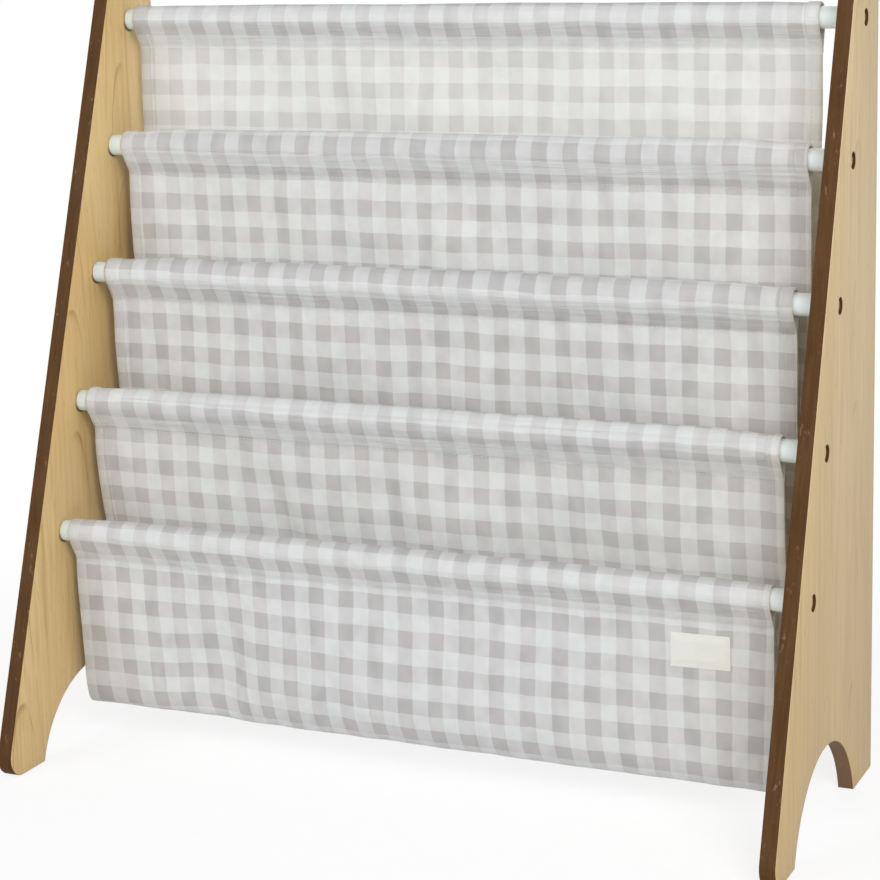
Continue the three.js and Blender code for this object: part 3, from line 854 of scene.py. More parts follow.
def side_panel(name, side, face_material):
    """side is -1 for the left panel and 1 for the right one, whose outer face looks that way."""
    outline = panel_outline()
    thickness = PANEL_OUTER - PANEL_INNER
    points = []
    faces = []
    finish = []

    def put_ring(flat_points, out):
        first = len(points)
        across = side * (PANEL_INNER + out)
        points.extend((across, p.x, p.y) for p in flat_points)
        return first

    def join(rings, count, material, hole=False):
        for first, second in zip(rings, rings[1:]):
            quads = ring_faces(first, second, count)
            if (side > 0) == hole:
                quads = [tuple(reversed(q)) for q in quads]
            faces.extend(quads)
            finish.extend([material] * count)

    soft = ARRIS * ARRIS_ROUND_SHARE
    steps = [
        (0.0, ARRIS),
        (soft, soft),
        (ARRIS, 0.0),
        (thickness - ARRIS, 0.0),
        (thickness - soft, soft),
        (thickness, ARRIS),
    ]
    rings = [put_ring(drawn_in(outline, inset), out) for out, inset in steps]
    count = len(outline)
    join(rings[:4], count, CUT_EDGE)
    join(rings[3:], count, VENEER)

    rim = drawn_in(outline, ARRIS)
    inner_loops = [(rim, rings[0])]
    outer_loops = [(rim, rings[-1])]
    for level in LEVELS:
        centre = Vector((ROD_DEPTH[level], ROD_HEIGHT[level]))
        floor = thickness - COUNTERBORE_DEPTH
        steps = [
            (0.0, SHANK_HOLE_RADIUS + HOLE_CHAMFER),
            (HOLE_CHAMFER, SHANK_HOLE_RADIUS),
            (floor, SHANK_HOLE_RADIUS),
            (floor, COUNTERBORE_RADIUS),
            (thickness - HOLE_CHAMFER, COUNTERBORE_RADIUS),
            (thickness, COUNTERBORE_RADIUS + HOLE_CHAMFER),
        ]
        circles = [arc_points(centre, r, 0, 2 * math.pi, HOLE_STEPS)[:-1] for _, r in steps]
        hole_rings = [put_ring(circle, out) for circle, (out, _) in zip(circles, steps)]
        join(hole_rings, HOLE_STEPS, CUT_EDGE, hole=True)
        inner_loops.append((circles[0], hole_rings[0]))
        outer_loops.append((circles[-1], hole_rings[-1]))

    for loops, looks_out in ((inner_loops, False), (outer_loops, True)):
        flat = [[Vector((p.x, p.y, 0)) for p in loop] for loop, _ in loops]
        index = [first + i for loop, first in loops for i in range(len(loop))]
        corners = [p for loop in flat for p in loop]
        for a, b, c in tessellate_polygon(flat):
            turned = (corners[b] - corners[a]).cross(corners[c] - corners[a]).z > 0
            anticlockwise = turned == ((side > 0) == looks_out)
            order = (a, b, c) if anticlockwise else (a, c, b)
            faces.append(tuple(index[i] for i in order))
            finish.append(VENEER)
    return mesh_piece(name, points, faces, [face_material, brown_edge], finish_index=finish)


# Rods and bolts
def turned_piece(name, profile, sides, material, place=(0, 0, 0), sharp=30):
    """A solid turned about X from pairs of place along X and radius, in the order of the place. A
    radius of zero closes an end, and a ring marked SIX_SIDED has flats, each as far out as the radius."""
    points = []
    faces = []
    rings = []
    for along, radius, *six_sided in profile:
        rings.append((len(points), radius == 0))
        if radius == 0:
            points.append((along, 0, 0))
            continue
        for i in range(sides):
            turn = 2 * math.pi * i / sides
            fold = (turn % (math.pi / 3)) - math.pi / 6
            reach = radius / math.cos(fold) if six_sided else radius
            points.append((along, reach * math.cos(turn), reach * math.sin(turn)))
    for (first, first_is_tip), (second, second_is_tip) in zip(rings, rings[1:]):
        for a, b, c, d in ring_faces(first, second, sides):
            if first_is_tip:
                faces.append((first, c, d))
            elif second_is_tip:
                faces.append((a, b, second))
            else:
                faces.append((a, b, c, d))
    points = [tuple(Vector(p) + Vector(place)) for p in points]
    return mesh_piece(name, points, faces, [material], sharp=sharp)


def quarter_round(radius, size):
    """From an end face round to the side: pairs of the distance from the face and the radius."""
    turns = np.linspace(0, math.pi / 2, ROUNDING_STEPS)
    return [(size * (1 - math.cos(turn)), radius - size * (1 - math.sin(turn))) for turn in turns]


def rod(level):
    """A painted round rod with softened ends and a bore in each end for the insert."""
    half = [(INSERT_BORE, 0), (INSERT_BORE, INSERT_RADIUS), (0.0, INSERT_RADIUS)]
    half += quarter_round(ROD_RADIUS, ROD_ROUNDING)
    left = [(-ROD_END + inwards, radius) for inwards, radius in half]
    right = [(ROD_END - inwards, radius) for inwards, radius in reversed(half)]
    place = (0, ROD_DEPTH[level], ROD_HEIGHT[level])
    return turned_piece(f"white_rod_{level}", left + right, ROD_SIDES, rod_paint, place)


insert_low, insert_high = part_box("threaded_insert_right_1")
bolt_low, bolt_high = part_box("bolt_right_1")
INSERT_RADIUS = (insert_high.z - insert_low.z) / 2 + LAYER_GAP
INSERT_BORE = insert_high.x - insert_low.x + BORE_PAST_INSERT
BOLT_FACE = bolt_high.x - BOLT_SUNK
BOLT_SEAT = BOLT_FACE - BOLT_HEAD_HEIGHT
BOLT_TIP = bolt_low.x
SIX_SIDED = True


def bolt_pattern():
    """One bolt along +X with its axis on X: a low crowned head with a six-sided socket, and its shank."""
    top = BOLT_FACE + BOLT_CROWN
    head = [
        (BOLT_FACE - inwards, radius)
        for inwards, radius in quarter_round(BOLT_HEAD_RADIUS, BOLT_HEAD_ROUNDING)
    ]
    profile = [
        (BOLT_TIP, 0.0),
        (BOLT_TIP, BOLT_SHANK_RADIUS - BOLT_TIP_CHAMFER),
        (BOLT_TIP + BOLT_TIP_CHAMFER, BOLT_SHANK_RADIUS),
        (BOLT_SEAT, BOLT_SHANK_RADIUS),
        (BOLT_SEAT, BOLT_HEAD_RADIUS),
        *reversed(head),
        (top - BOLT_CROWN * 0.6, BOLT_HEAD_RADIUS * 0.85),
        (top - BOLT_CROWN * 0.25, BOLT_HEAD_RADIUS * 0.7),
        (top - BOLT_CROWN * 0.04, BOLT_SOCKET_HALF * 1.35),
        (top, BOLT_SOCKET_HALF * 1.08, SIX_SIDED),
        (top - BOLT_SOCKET_CHAMFER, BOLT_SOCKET_HALF, SIX_SIDED),
        (top - BOLT_SOCKET_DEPTH, BOLT_SOCKET_HALF * 0.98, SIX_SIDED),
        (top - BOLT_SOCKET_DEPTH, 0.0),
    ]
    return turned_piece("bolt_pattern", profile, BOLT_SIDES, bolt_metal, sharp=BOLT_SHARP_ANGLE)


class Tree(Nodes):
    """A geometry node tree with named inputs."""

    def __init__(self, name, inputs):
        super().__init__(bpy.data.node_groups.new(name, "GeometryNodeTree"))
        face = self.tree.interface
        face.new_socket("Geometry", in_out="INPUT", socket_type="NodeSocketGeometry")
        for label, kind in inputs.items():
            face.new_socket(label, in_out="INPUT", socket_type="NodeSocket" + kind)
        face.new_socket("Geometry", in_out="OUTPUT", socket_type="NodeSocketGeometry")
        self.inputs = self.tree.nodes.new("NodeGroupInput").outputs
        self.result = self.tree.nodes.new("NodeGroupOutput").inputs[0]

    def end(self, instances, material):
        real = self.add("GeometryNodeRealizeInstances", {0: instances})
        done = self.add("GeometryNodeSetMaterial", {"Geometry": real.outputs[0], "Material": material})
        self.feed(self.result, done.outputs[0])

    def run(self, name, points, edges, values):
        """Runs the tree on a carrier of points and edges, and returns the result as a plain mesh object."""
        runs = bpy.data.meshes.new(name + "_places")
        runs.from_pydata(points, edges, [])
        carrier = put_in_scene(name + "_places", runs)
        modifier = carrier.modifiers.new("tree", "NODES")
        modifier.node_group = self.tree
        for item in self.tree.interface.items_tree:
            if item.in_out == "INPUT" and item.name in values:
                modifier[item.identifier] = values[item.name]
        bpy.context.view_layer.update()
        evaluated = carrier.evaluated_get(bpy.context.evaluated_depsgraph_get())
        mesh = bpy.data.meshes.new_from_object(evaluated)
        mesh.name = name
        carrier.modifiers.remove(modifier)
        bpy.data.objects.remove(carrier)
        return put_in_scene(name, mesh)


def bolt_row_tree():
    """Puts the pattern bolt at each point of a row, each turned by its own angle."""
    tree = Tree("bolt_row", {"Bolt": "Object", "Seed": "Int", "Finish": "Material"})
    bolt = tree.add("GeometryNodeObjectInfo", {"Object": tree.inputs["Bolt"], "As Instance": True})
    turn = tree.add(
        "FunctionNodeRandomValue",
        {"Min": (0.0, 0.0, 0.0), "Max": (math.pi / 3, 0.0, 0.0), "Seed": tree.inputs["Seed"]},
        data_type="FLOAT_VECTOR",
    )
    place = tree.add(
        "GeometryNodeInstanceOnPoints",
        {
            "Points": tree.inputs["Geometry"],
            "Instance": bolt.outputs["Geometry"],
            "Rotation": turn.outputs[0],
        },
    )
    tree.end(place.outputs[0], tree.inputs["Finish"])
    return tree


def bolt_row(name, side, pattern, tree, seed):
    """The five bolts of one panel, in one mesh."""
    places = [(0, ROD_DEPTH[level], ROD_HEIGHT[level]) for level in LEVELS]
    row = tree.run(name, places, [], {"Bolt": pattern, "Seed": seed, "Finish": bolt_metal})
    if side < 0:
        row.data.transform(Matrix.Scale(-1, 4, (1, 0, 0)))
        row.data.flip_normals()
    return row


# Cloth
def wall_setback(level, drop):
    """How far behind its rod's axis a hanging wall lies, at a drop below the axis."""
    below = np.clip(np.asarray(drop, float) - SEAM_DROP, 0, None)
    if level == LOWEST:
        share = np.clip(below / (BEND_DROP - SEAM_DROP), 0, 1)
        return SEAM_SETBACK + (FRONT_WALL_LEAN - SEAM_SETBACK) * share**2
    lean = WALL_LEANS[level]
    upper = SEAM_SETBACK + (lean - SEAM_SETBACK) * np.clip(below / (ROD_RISE - SEAM_DROP), 0, 1) ** 2
    left = np.clip(1 - (drop - ROD_RISE) / BEND_DROP, 0, 1)
    lower = REAR_LEAN + (lean - REAR_LEAN) * left**2
    return np.where(drop < ROD_RISE, upper, lower)


def front_wall_setback(level, drop):
    """The front wall of a pocket hangs close behind the back wall of the pocket below it."""
    if level == LOWEST:
        return wall_setback(level, drop)
    share = np.clip((drop - SEAM_DROP) / (BEND_DROP - SEAM_DROP), 0, 1)
    return wall_setback(level, drop) + LAYER_STEP + LAYER_GAP + (LAYER_SPREAD - LAYER_GAP) * share


def line(start, end):
    """Points close together on a straight line."""
    count = max(2, int(math.dist(start, end) / LINE_STEP))
    return [tuple(p) for p in np.linspace(start, end, count)]


def round_rod(level, start, end, radius):
    """Over the rod from one seam point to the other, on the two lines that touch the circle."""
    axis = np.array((ROD_DEPTH[level], ROD_HEIGHT[level]))

    def touch(point, turn):
        offset = np.array(point) - axis
        return math.atan2(offset[1], offset[0]) + turn * math.acos(radius / math.hypot(*offset))

    way = 1 if start[0] > end[0] else -1
    first = touch(start, way)
    last = touch(end, -way)
    while (last - first) * way < 0:
        last += way * 2 * math.pi
    turns = np.linspace(first, last, SLEEVE_TURNS)
    return [tuple(axis + radius * np.array((math.cos(t), math.sin(t)))) for t in turns]


def seam_ends(level):
    """Where a sleeve's seam lies: on the wall's layer, and on the layer behind it."""
    seam = (ROD_DEPTH[level] + SEAM_SETBACK, ROD_HEIGHT[level] - SEAM_DROP)
    return seam, (seam[0] + LAYER_STEP, seam[1])


def sling_line(level):
    """The centre line of a sling from the side, in depth and height, and where its parts begin."""
    in_front = level + 1
    is_last = in_front == LOWEST
    seam, rear = seam_ends(level)
    parts = {}
    points = line((rear[0], rear[1] - SEAM_TAIL), rear)
    over = round_rod(level, rear, seam, SLEEVE_RADIUS)
    points += line(points[-1], over[0]) + over + line(over[-1], seam)
    parts["wall"] = len(points)
    drops = np.arange(SEAM_DROP, ROD_RISE + BEND_DROP, LINE_STEP)
    points += list(zip(ROD_DEPTH[level] + wall_setback(level, drops), ROD_HEIGHT[level] - drops))
    parts["bottom"] = len(points)
    front = ROD_DEPTH[in_front] + float(front_wall_setback(in_front, BEND_DROP))
    back = ROD_DEPTH[level] + REAR_LEAN
    bend = ROD_HEIGHT[in_front] - BEND_DROP
    turns = np.linspace(0, math.pi, BOTTOM_TURNS)[1:-1]
    depth = POCKET_DROP - BEND_DROP
    points += [
        ((front + back) / 2 + (back - front) / 2 * math.cos(t), bend - depth * math.sin(t)) for t in turns
    ]
    parts["front"] = len(points)
    top_drop = SEAM_DROP if is_last else SEAM_DROP + SEAM_TAIL + LAYER_GAP
    drops = np.arange(BEND_DROP, top_drop, -LINE_STEP)
    setbacks = front_wall_setback(in_front, drops)
    points += list(zip(ROD_DEPTH[in_front] + setbacks, ROD_HEIGHT[in_front] - drops))
    parts["front_sleeve"] = len(points)
    if is_last:
        seam, rear = seam_ends(in_front)
        over = round_rod(in_front, seam, rear, SLEEVE_RADIUS)
        points += line(points[-1], over[0]) + over + line(over[-1], rear)
        points += line(rear, (rear[0], rear[1] - SEAM_TAIL))
    return np.array(points), parts


def softened(points):
    """Rounds the corners of a close row of points with a running average; the ends stay."""
    kernel = np.hanning(2 * CORNER_REACH + 3)[1:-1]
    kernel /= kernel.sum()
    start = np.repeat(points[:1], CORNER_REACH, 0)
    end = np.repeat(points[-1:], CORNER_REACH, 0)
    padded = np.concatenate([start, points, end])
    return np.stack([np.convolve(padded[:, k], kernel, mode="valid") for k in range(2)], 1)


def unevenness(first, second, seed):
    """Smooth random hills between -1 and 1, about one for each unit of both values, the same each time."""
    lattice = np.random.default_rng(seed).uniform(-1, 1, (LATTICE, LATTICE))
    first, second = np.broadcast_arrays(first, second)
    a = np.floor(first).astype(int)
    b = np.floor(second).astype(int)
    p = first - a
    q = second - b
    p = p * p * (3 - 2 * p)
    q = q * q * (3 - 2 * q)

    def at(i, j):
        return lattice[(a + i) % LATTICE, (b + j) % LATTICE]

    near = at(0, 0) * (1 - p) + at(1, 0) * p
    far = at(0, 1) * (1 - p) + at(1, 1) * p
    return near * (1 - q) + far * q


def ripple(across, height):
    """The long waves of the hanging cloth, none at the rods and most halfway between them."""
    rise = (height - ROD_HEIGHT[LOWEST]) / ROD_RISE
    swell = np.where(rise < -0.5, 1.0, np.sin(np.pi * rise) ** 2)
    long_wave = RIPPLE_DEPTH * np.sin(2 * np.pi * (across / RIPPLE_LENGTH + RIPPLE_PHASE_SHARE))
    crumple = 0
    for share, wide, tall, seed in CRUMPLES:
        crumple = crumple + share * CRUMPLE_DEPTH * unevenness(across / wide, height / tall, seed)
    return swell * (long_wave + crumple)


def wall_folds(level, across, drop):
    """How far the folds of a level's wall stand out towards the front, growing down from its seam."""
    grown = rising(drop, SEAM_DROP + 0.006, FOLD_FULL_DROP[level])
    folds = 0
    for place, depth, width, drift in WALL_FOLDS[level]:
        folds = folds + depth * bump_at(across, place + drift * (drop - FOLD_PLACE_DROP), width)
    return grown * folds


def cross_stations():
    """Places across the cloth: close together at the hems, and evenly spaced between them."""
    hem = [0.0, 0.0004, 0.0012, 0.003, 0.0055, 0.0074, 0.0082, 0.009, 0.0096, 0.0100, 0.0104, 0.0112, 0.0125]
    inner = np.arange(0.0150, CLOTH_WIDTH - 0.0149, ACROSS_STEP)
    whole = hem + list(inner) + [CLOTH_WIDTH - h for h in reversed(hem)]
    return CLOTH_LEFT + np.array(whole)


def sling_shape(level):
    """The rows of a sling's grid: how far along the cloth, how deep and how high each one lies, and
    how far along the cloth its parts begin."""
    dense, parts = sling_line(level)
    dense = softened(dense)
    along = np.concatenate([[0], np.cumsum(np.linalg.norm(np.diff(dense, axis=0), axis=1))])
    marks = {name: along[min(i, len(along) - 1)] for name, i in parts.items()}
    stops = [
        np.arange(0, marks["wall"], SLEEVE_STEP),
        np.arange(marks["wall"], marks["front_sleeve"], PATH_STEP),
    ]
    if level + 1 == LOWEST:
        stops.append(np.arange(marks["front_sleeve"], along[-1], SLEEVE_STEP))
    stops = np.concatenate(stops + [along[-1:]])
    keep = np.concatenate([[True], np.diff(stops) > LEAST_STEP])
    stops = stops[keep]
    depth = np.interp(stops, along, dense[:, 0])
    height = np.interp(stops, along, dense[:, 1])
    return stops, depth, height, marks


def normals_of(grid):
    """The grid's unit normals, which look into the pocket on both of its walls."""
    down = np.gradient(grid, axis=0)
    across = np.gradient(grid, axis=1)
    cross = np.cross(down, across)
    return cross / np.linalg.norm(cross, axis=2, keepdims=True)


def bump_at(value, centre, width):
    """1 at the centre, falling to nearly nothing at twice the width."""
    return np.exp(-(((value - centre) / width) ** 2))


def rising(value, low, high):
    """0 up to low and 1 from high on, with a smooth rise between them."""
    share = np.clip((value - low) / (high - low), 0, 1)
    return share * share * (3 - 2 * share)


def row_places(level, stops, marks):
    """How far along the gingham each place of the sling lies, so that its rows fall where they should."""
    seam = marks["wall"]
    first_row = seam - SLEEVE_PATH + SLEEVE_DARK_ROW[level]
    wall_row = seam + WALL_DARK_ROW[level] - SEAM_DROP
    gap = round((wall_row - first_row) / CHECK_PITCH)
    knots = [(first_row + k * CHECK_PITCH, k - gap) for k in range(-4, 1)]
    count = 0
    place = wall_row
    while place < marks["bottom"]:
        knots.append((place, count))
        count += 1
        place += WALL_ROW_PITCH[level]
    last_place, last_count = knots[-1]
    if level + 1 == LOWEST:
        end = marks["front_sleeve"]
        top_row = end - (WALL_DARK_ROW[LOWEST] - SEAM_DROP)
        wall_rows = [top_row - n * WALL_ROW_PITCH[LOWEST] for n in reversed(range(LOW_WALL_ROWS))]
        start = last_count + round((wall_rows[0] - last_place) / CHECK_PITCH)
        knots += [(p, start + n) for n, p in enumerate(wall_rows)]
        sleeve_row = end + SLEEVE_PATH - SLEEVE_DARK_ROW[LOWEST]
        knots += [(sleeve_row + n * CHECK_PITCH, start + LOW_WALL_ROWS + n) for n in range(5)]
    else:
        knots += [(last_place + n * CHECK_PITCH, last_count + n) for n in range(1, 16)]
    places, counts = np.array(knots, float).T
    return (np.interp(stops, places, counts) + 0.5) * CHECK_PITCH


class Sling:
    """One pocket's cloth: a closed thin sheet with a sleeve at the top and folded side hems. Its grid's
    rows run along the cloth's length (s) and its columns across it (x)."""

    def __init__(self, level):
        self.level = level
        self.in_front = level + 1
        self.is_last = self.in_front == LOWEST
        self.stops, depth, height, self.marks = sling_shape(level)
        self.across = cross_stations()
        self.s, self.x = np.meshgrid(self.stops, self.across, indexing="ij")
        self.y = np.repeat(depth[:, None], len(self.across), 1)
        self.z = np.repeat(height[:, None], len(self.across), 1)
        self.share = (self.x - CLOTH_LEFT) / CLOTH_WIDTH
        self.from_edge = np.minimum(self.share, 1 - self.share) * CLOTH_WIDTH
        wall, low_seam = self.marks["wall"], self.marks["front_sleeve"]
        self.top_sleeve = 1 - rising(self.s, wall - 0.008, wall)
        self.low_sleeve = rising(self.s, low_seam, low_seam + 0.008)
        self.to_front = rising(self.s, self.marks["bottom"] - 0.01, self.marks["front"] + 0.01)
        self.seams = [(wall, 1)]
        if self.is_last:
            self.seams.append((low_seam, -1))
        self.lift_sleeves()
        self.hang()
        grid = np.stack([self.x, self.y, self.z], 2)
        self.normal = normals_of(grid)
        self.grid = grid - self.normal * np.maximum(self.sleeve_relief(), -DEEPEST_DENT)[..., None]

    def uneven(self, wide, long, seed):
        """Smooth random hills on the cloth, so wide across it and so long along it."""
        return unevenness(self.x / wide, self.s / long, seed)

    def between(self, behind, before):
        """A value that goes from the pocket's back wall to its front wall."""
        return behind * (1 - self.to_front) + before * self.to_front

    def lift_sleeves(self):
        """Lets each sleeve stand a little off the top of its rod."""
        rods = [self.level, self.in_front] if self.is_last else [self.level]
        for level in rods:
            over = (self.z - ROD_HEIGHT[level]) / SLEEVE_RADIUS
            near = np.abs(self.y - ROD_DEPTH[level]) < 3 * ROD_RADIUS
            from_end = np.minimum(self.x - CLOTH_LEFT, CLOTH_RIGHT - self.x)
            low_end = SLEEVE_END_SHARE[level]
            fullness = low_end + (1 - low_end) * rising(from_end, 0.004, SLEEVE_END_REACH)
            wide, seed = SLACK_PATCH
            fullness = fullness * (1 + SLEEVE_LIFT_VARIES * unevenness(self.x / wide, level, seed))
            slack = SLEEVE_LIFT[level] * fullness
            self.z = self.z + np.where(near, slack * np.clip(over, 0, 1) ** 1.6, 0)

    def hang(self):
        """Lets the pocket sag, gives its walls their waves and folds, and shifts its side edges."""
        axis = ROD_HEIGHT[self.in_front]
        below = np.clip((axis - BEND_DROP - self.z) / (POCKET_DROP - BEND_DROP), 0, 1)
        sag = BELLY_DEPTH * (1 - (2 * self.share - 1) ** 2)
        if self.is_last:
            sag = np.interp(self.across, *zip(*LOW_POCKET_SAG))
            blur = np.full(2 * SAG_BLUR + 1, 1 / (2 * SAG_BLUR + 1))
            sag = np.convolve(np.pad(sag, SAG_BLUR, mode="edge"), blur, mode="valid")[None, :]
            self.square_bottom(below)
        self.y = self.y + ripple(self.x, self.z)
        self.z = self.z - sag * below
        behind = wall_folds(self.level, self.x, np.minimum(ROD_HEIGHT[self.level] - self.z, ROD_RISE))
        before = wall_folds(self.in_front, self.x, axis - self.z)
        self.y = self.y - (1 - self.to_front) * behind - self.to_front * before
        self.hanging = np.clip((axis - SEAM_DROP - self.z) / (POCKET_DROP - SEAM_DROP), 0, 1)
        drawn = LOW_CORNER_DRAW * self.hanging**2 * bump_at(self.share, 1, LOW_CORNER_DRAW_SHARE)
        self.x = self.x - drawn
        for edge in (0, 1):
            shift = self.between(EDGE_SHIFT[self.level][edge], EDGE_SHIFT[self.in_front][edge])
            self.x = self.x + shift * bump_at(self.share, edge, EDGE_SHARE)

    def square_bottom(self, below):
        """Pushes the round bottom out towards a squarer one near the lowest pocket's left edge."""
        rear, front = ROD_DEPTH[self.level], ROD_DEPTH[self.in_front]
        middle_depth = (rear + REAR_LEAN + front + FRONT_WALL_LEAN) / 2
        square = 2 + (LOW_CORNER_SQUARE - 2) * bump_at(self.share, 0, LOW_CORNER_SHARE)
        over_side = np.clip(np.abs(self.y - middle_depth) / ((rear - front) / 2), 0, 1)
        pushed = (over_side**square + np.clip(below, 0.001, 1) ** square) ** (1 / square)
        pushed = np.where(below > 0, np.sqrt(over_side**2 + below**2) / pushed, 1)
        pushed = 1 + (np.clip(pushed, 1, LOW_CORNER_LIMIT) - 1) * rising(below, 0, 0.25)
        bend = ROD_HEIGHT[self.in_front] - BEND_DROP
        self.y = middle_depth + (self.y - middle_depth) * pushed
        self.z = np.where(below > 0, bend + (self.z - bend) * pushed, self.z)

    def sleeve_relief(self):
        """How far the sleeves' creases, their ridge and the puckers at the seam stand out."""
        wide, long, seed = CREASE_SIZE
        crease = self.uneven(wide, long, seed + self.level)
        crease = crease * (0.6 + 0.4 * self.uneven(*CREASE_PATCH))
        wide, seed = RIDGE_PATCH
        ridge_share = 0.7 + 0.5 * unevenness(self.x / wide, self.level, seed)
        wide, long, seed = PUCKER_SIZE
        pucker = self.uneven(wide, long, seed + self.level)
        lift = 0 * self.x
        for seam, way in self.seams:
            onto_sleeve = way * (seam - self.s)
            creased = rising(onto_sleeve, *CREASES_BEGIN) * (1 - rising(onto_sleeve, *CREASES_END))
            lift = lift + CREASE_DEPTH * creased * (crease - 0.2)
            ridge = bump_at(onto_sleeve, SLEEVE_PATH + RIDGE_PLACE, RIDGE_WIDTH)
            lift = lift + RIDGE_HEIGHT * ridge * ridge_share
            gathered = rising(onto_sleeve, *PUCKERS_BEGIN) * (1 - rising(onto_sleeve, *PUCKERS_END))
            lift = lift + PUCKER_DEPTH * gathered * pucker
        return lift

    def cloth_map(self):
        """Where each point lies on the flat gingham: its columns' place and its rows' place."""
        level, marks, s, x = self.level, self.marks, self.s, self.x
        u = (CLOTH_LEFT + self.share * CLOTH_WIDTH - PALE_COLUMN[level]) * CHECK_PITCH / CHECK_WIDTH
        v = row_places(level, self.stops, marks)
        front_tilt = ROW_TILT[LOWEST] if self.is_last else 0
        on_wall = 1 - rising(s, marks["front_sleeve"] - 0.01, marks["front_sleeve"])
        tilt = ROW_TILT[level] * (1 - self.to_front) + front_tilt * self.to_front * on_wall
        v = np.repeat(v[:, None], len(self.across), 1) - tilt * (self.share - 0.5)
        for size, wide, long, seed in COLUMN_DRIFTS:
            u = u + size * self.uneven(wide, long, seed + level)
        for size, wide, long, seed in ROW_DRIFTS:
            v = v + size * self.uneven(wide, long, seed + level)
        u = u - SLEEVE_COLUMN_SHIFT[level] * self.top_sleeve
        u = u - SLEEVE_COLUMN_SHIFT[self.in_front] * self.low_sleeve
        if self.is_last:
            on_front = rising(s, marks["bottom"] + 0.02, marks["bottom"] + 0.05)
            for place, width, shift in LOW_COLUMN_SHIFTS:
                aside = shift * bump_at(x, place, width) * (1 - self.low_sleeve)
                u = u - aside * (0.5 + 0.7 * self.hanging) * on_front
            crest = ROW_WAVE_PLACE + ROW_WAVE_DRIFT * (ROD_HEIGHT[LOWEST] - self.z - FOLD_PLACE_DROP)
            wave = ROW_WAVE * rising(self.hanging, 0, 0.4) * on_front * bump_at(x, crest, ROW_WAVE_WIDTH)
            v = v - wave
        return np.stack([u, v], 2).reshape(-1, 2)

    def tones(self):
        """The values that the gingham's material reads: for each, the inner and the outer face's."""
        s, z, level, marks = self.s, self.z, self.level, self.marks
        seam_near = bump_at(s, marks["wall"], 0.006) + bump_at(s, marks["front_sleeve"], 0.006)
        pucker = np.clip(0.18 + seam_near + 0.6 * bump_at(self.from_edge, HEM_STITCH, 0.004), 0, 1)
        sleeve = self.top_sleeve + self.low_sleeve
        on_wall = rising(s, marks["wall"] - 0.012, marks["wall"] + 0.006) * (1 - self.to_front)
        # Painted light: how much lighter each wall is painted towards its foot, inside and on the lowest
        # pocket's outside
        inside_light = on_wall * FOOT_LIGHT[level] * rising(ROD_HEIGHT[level] - z, *INSIDE_LIGHT_DROPS)
        outside_light = sum(rising(ROD_HEIGHT[LOWEST] - z, *drops) / 2 for drops in OUTSIDE_LIGHT_DROPS)
        outside_light *= FOOT_LIGHT[LOWEST] * self.to_front * self.is_last
        return {
            "pucker": (pucker, pucker),
            "sleeve": (sleeve, sleeve),
            "inside": (on_wall, 0 * s),
            # Painted light: each level's walls painted paler
            "painted_paler": (on_wall * PAINTED_PALER[level], 0 * s),
            "foot_light": (inside_light, outside_light),
        }

    def piece(self):
        """The cloth as a mesh piece, thicker along its hems and drawn in a little at every stitch line."""
        hem = rising(HEM_WIDTH + 0.0002 - self.from_edge, 0, 0.0003)
        stitched = bump_at(self.from_edge, HEM_STITCH, 0.0006)
        edge_round = np.clip(self.from_edge / EDGE_ROUNDING, 0.25, 1) ** 0.5
        outer = CLOTH / 2 * edge_round
        inner = outer + HEM_STEP * hem * edge_round - STITCH_SINK_INSIDE * stitched
        outer = outer - STITCH_SINK_OUTSIDE * stitched
        uv = self.cloth_map()
        piece = closed_sheet(
            f"gingham_sling_{self.level}",
            self.grid + self.normal * inner[..., None],
            self.grid - self.normal * outer[..., None],
            cloth,
            uv=np.concatenate([uv, uv]),
        )
        for name, faces in self.tones().items():
            values = np.concatenate([face.ravel() for face in faces]).astype(np.float32)
            attribute = piece.data.attributes.new(name, "FLOAT", "POINT")
            attribute.data.foreach_set("value", values)
        return piece

    def stitches(self, tree):
        """The seam below each sleeve, and both hems, on both faces of the cloth."""
        lift = CLOTH / 2 + STITCH_CLEAR
        places = []
        inside = slice(4, len(self.across) - 4)
        for seam, _ in self.seams:
            row = int(np.argmin(np.abs(self.stops - seam)))
            places += [(row, inside, lift), (row, inside, -lift)]
        rows = slice(3, len(self.stops) - 3)
        for place in (CLOTH_LEFT + HEM_STITCH, CLOTH_RIGHT - HEM_STITCH):
            column = int(np.argmin(np.abs(self.across - place)))
            places.append((rows, column, lift + HEM_STEP - STITCH_SINK_INSIDE))
            places.append((rows, column, -(lift - STITCH_SINK_OUTSIDE)))
        runs = [self.grid[row, column] + self.normal[row, column] * out for row, column, out in places]
        return run_stitches(f"sling_stitches_{self.level}", runs, tree)


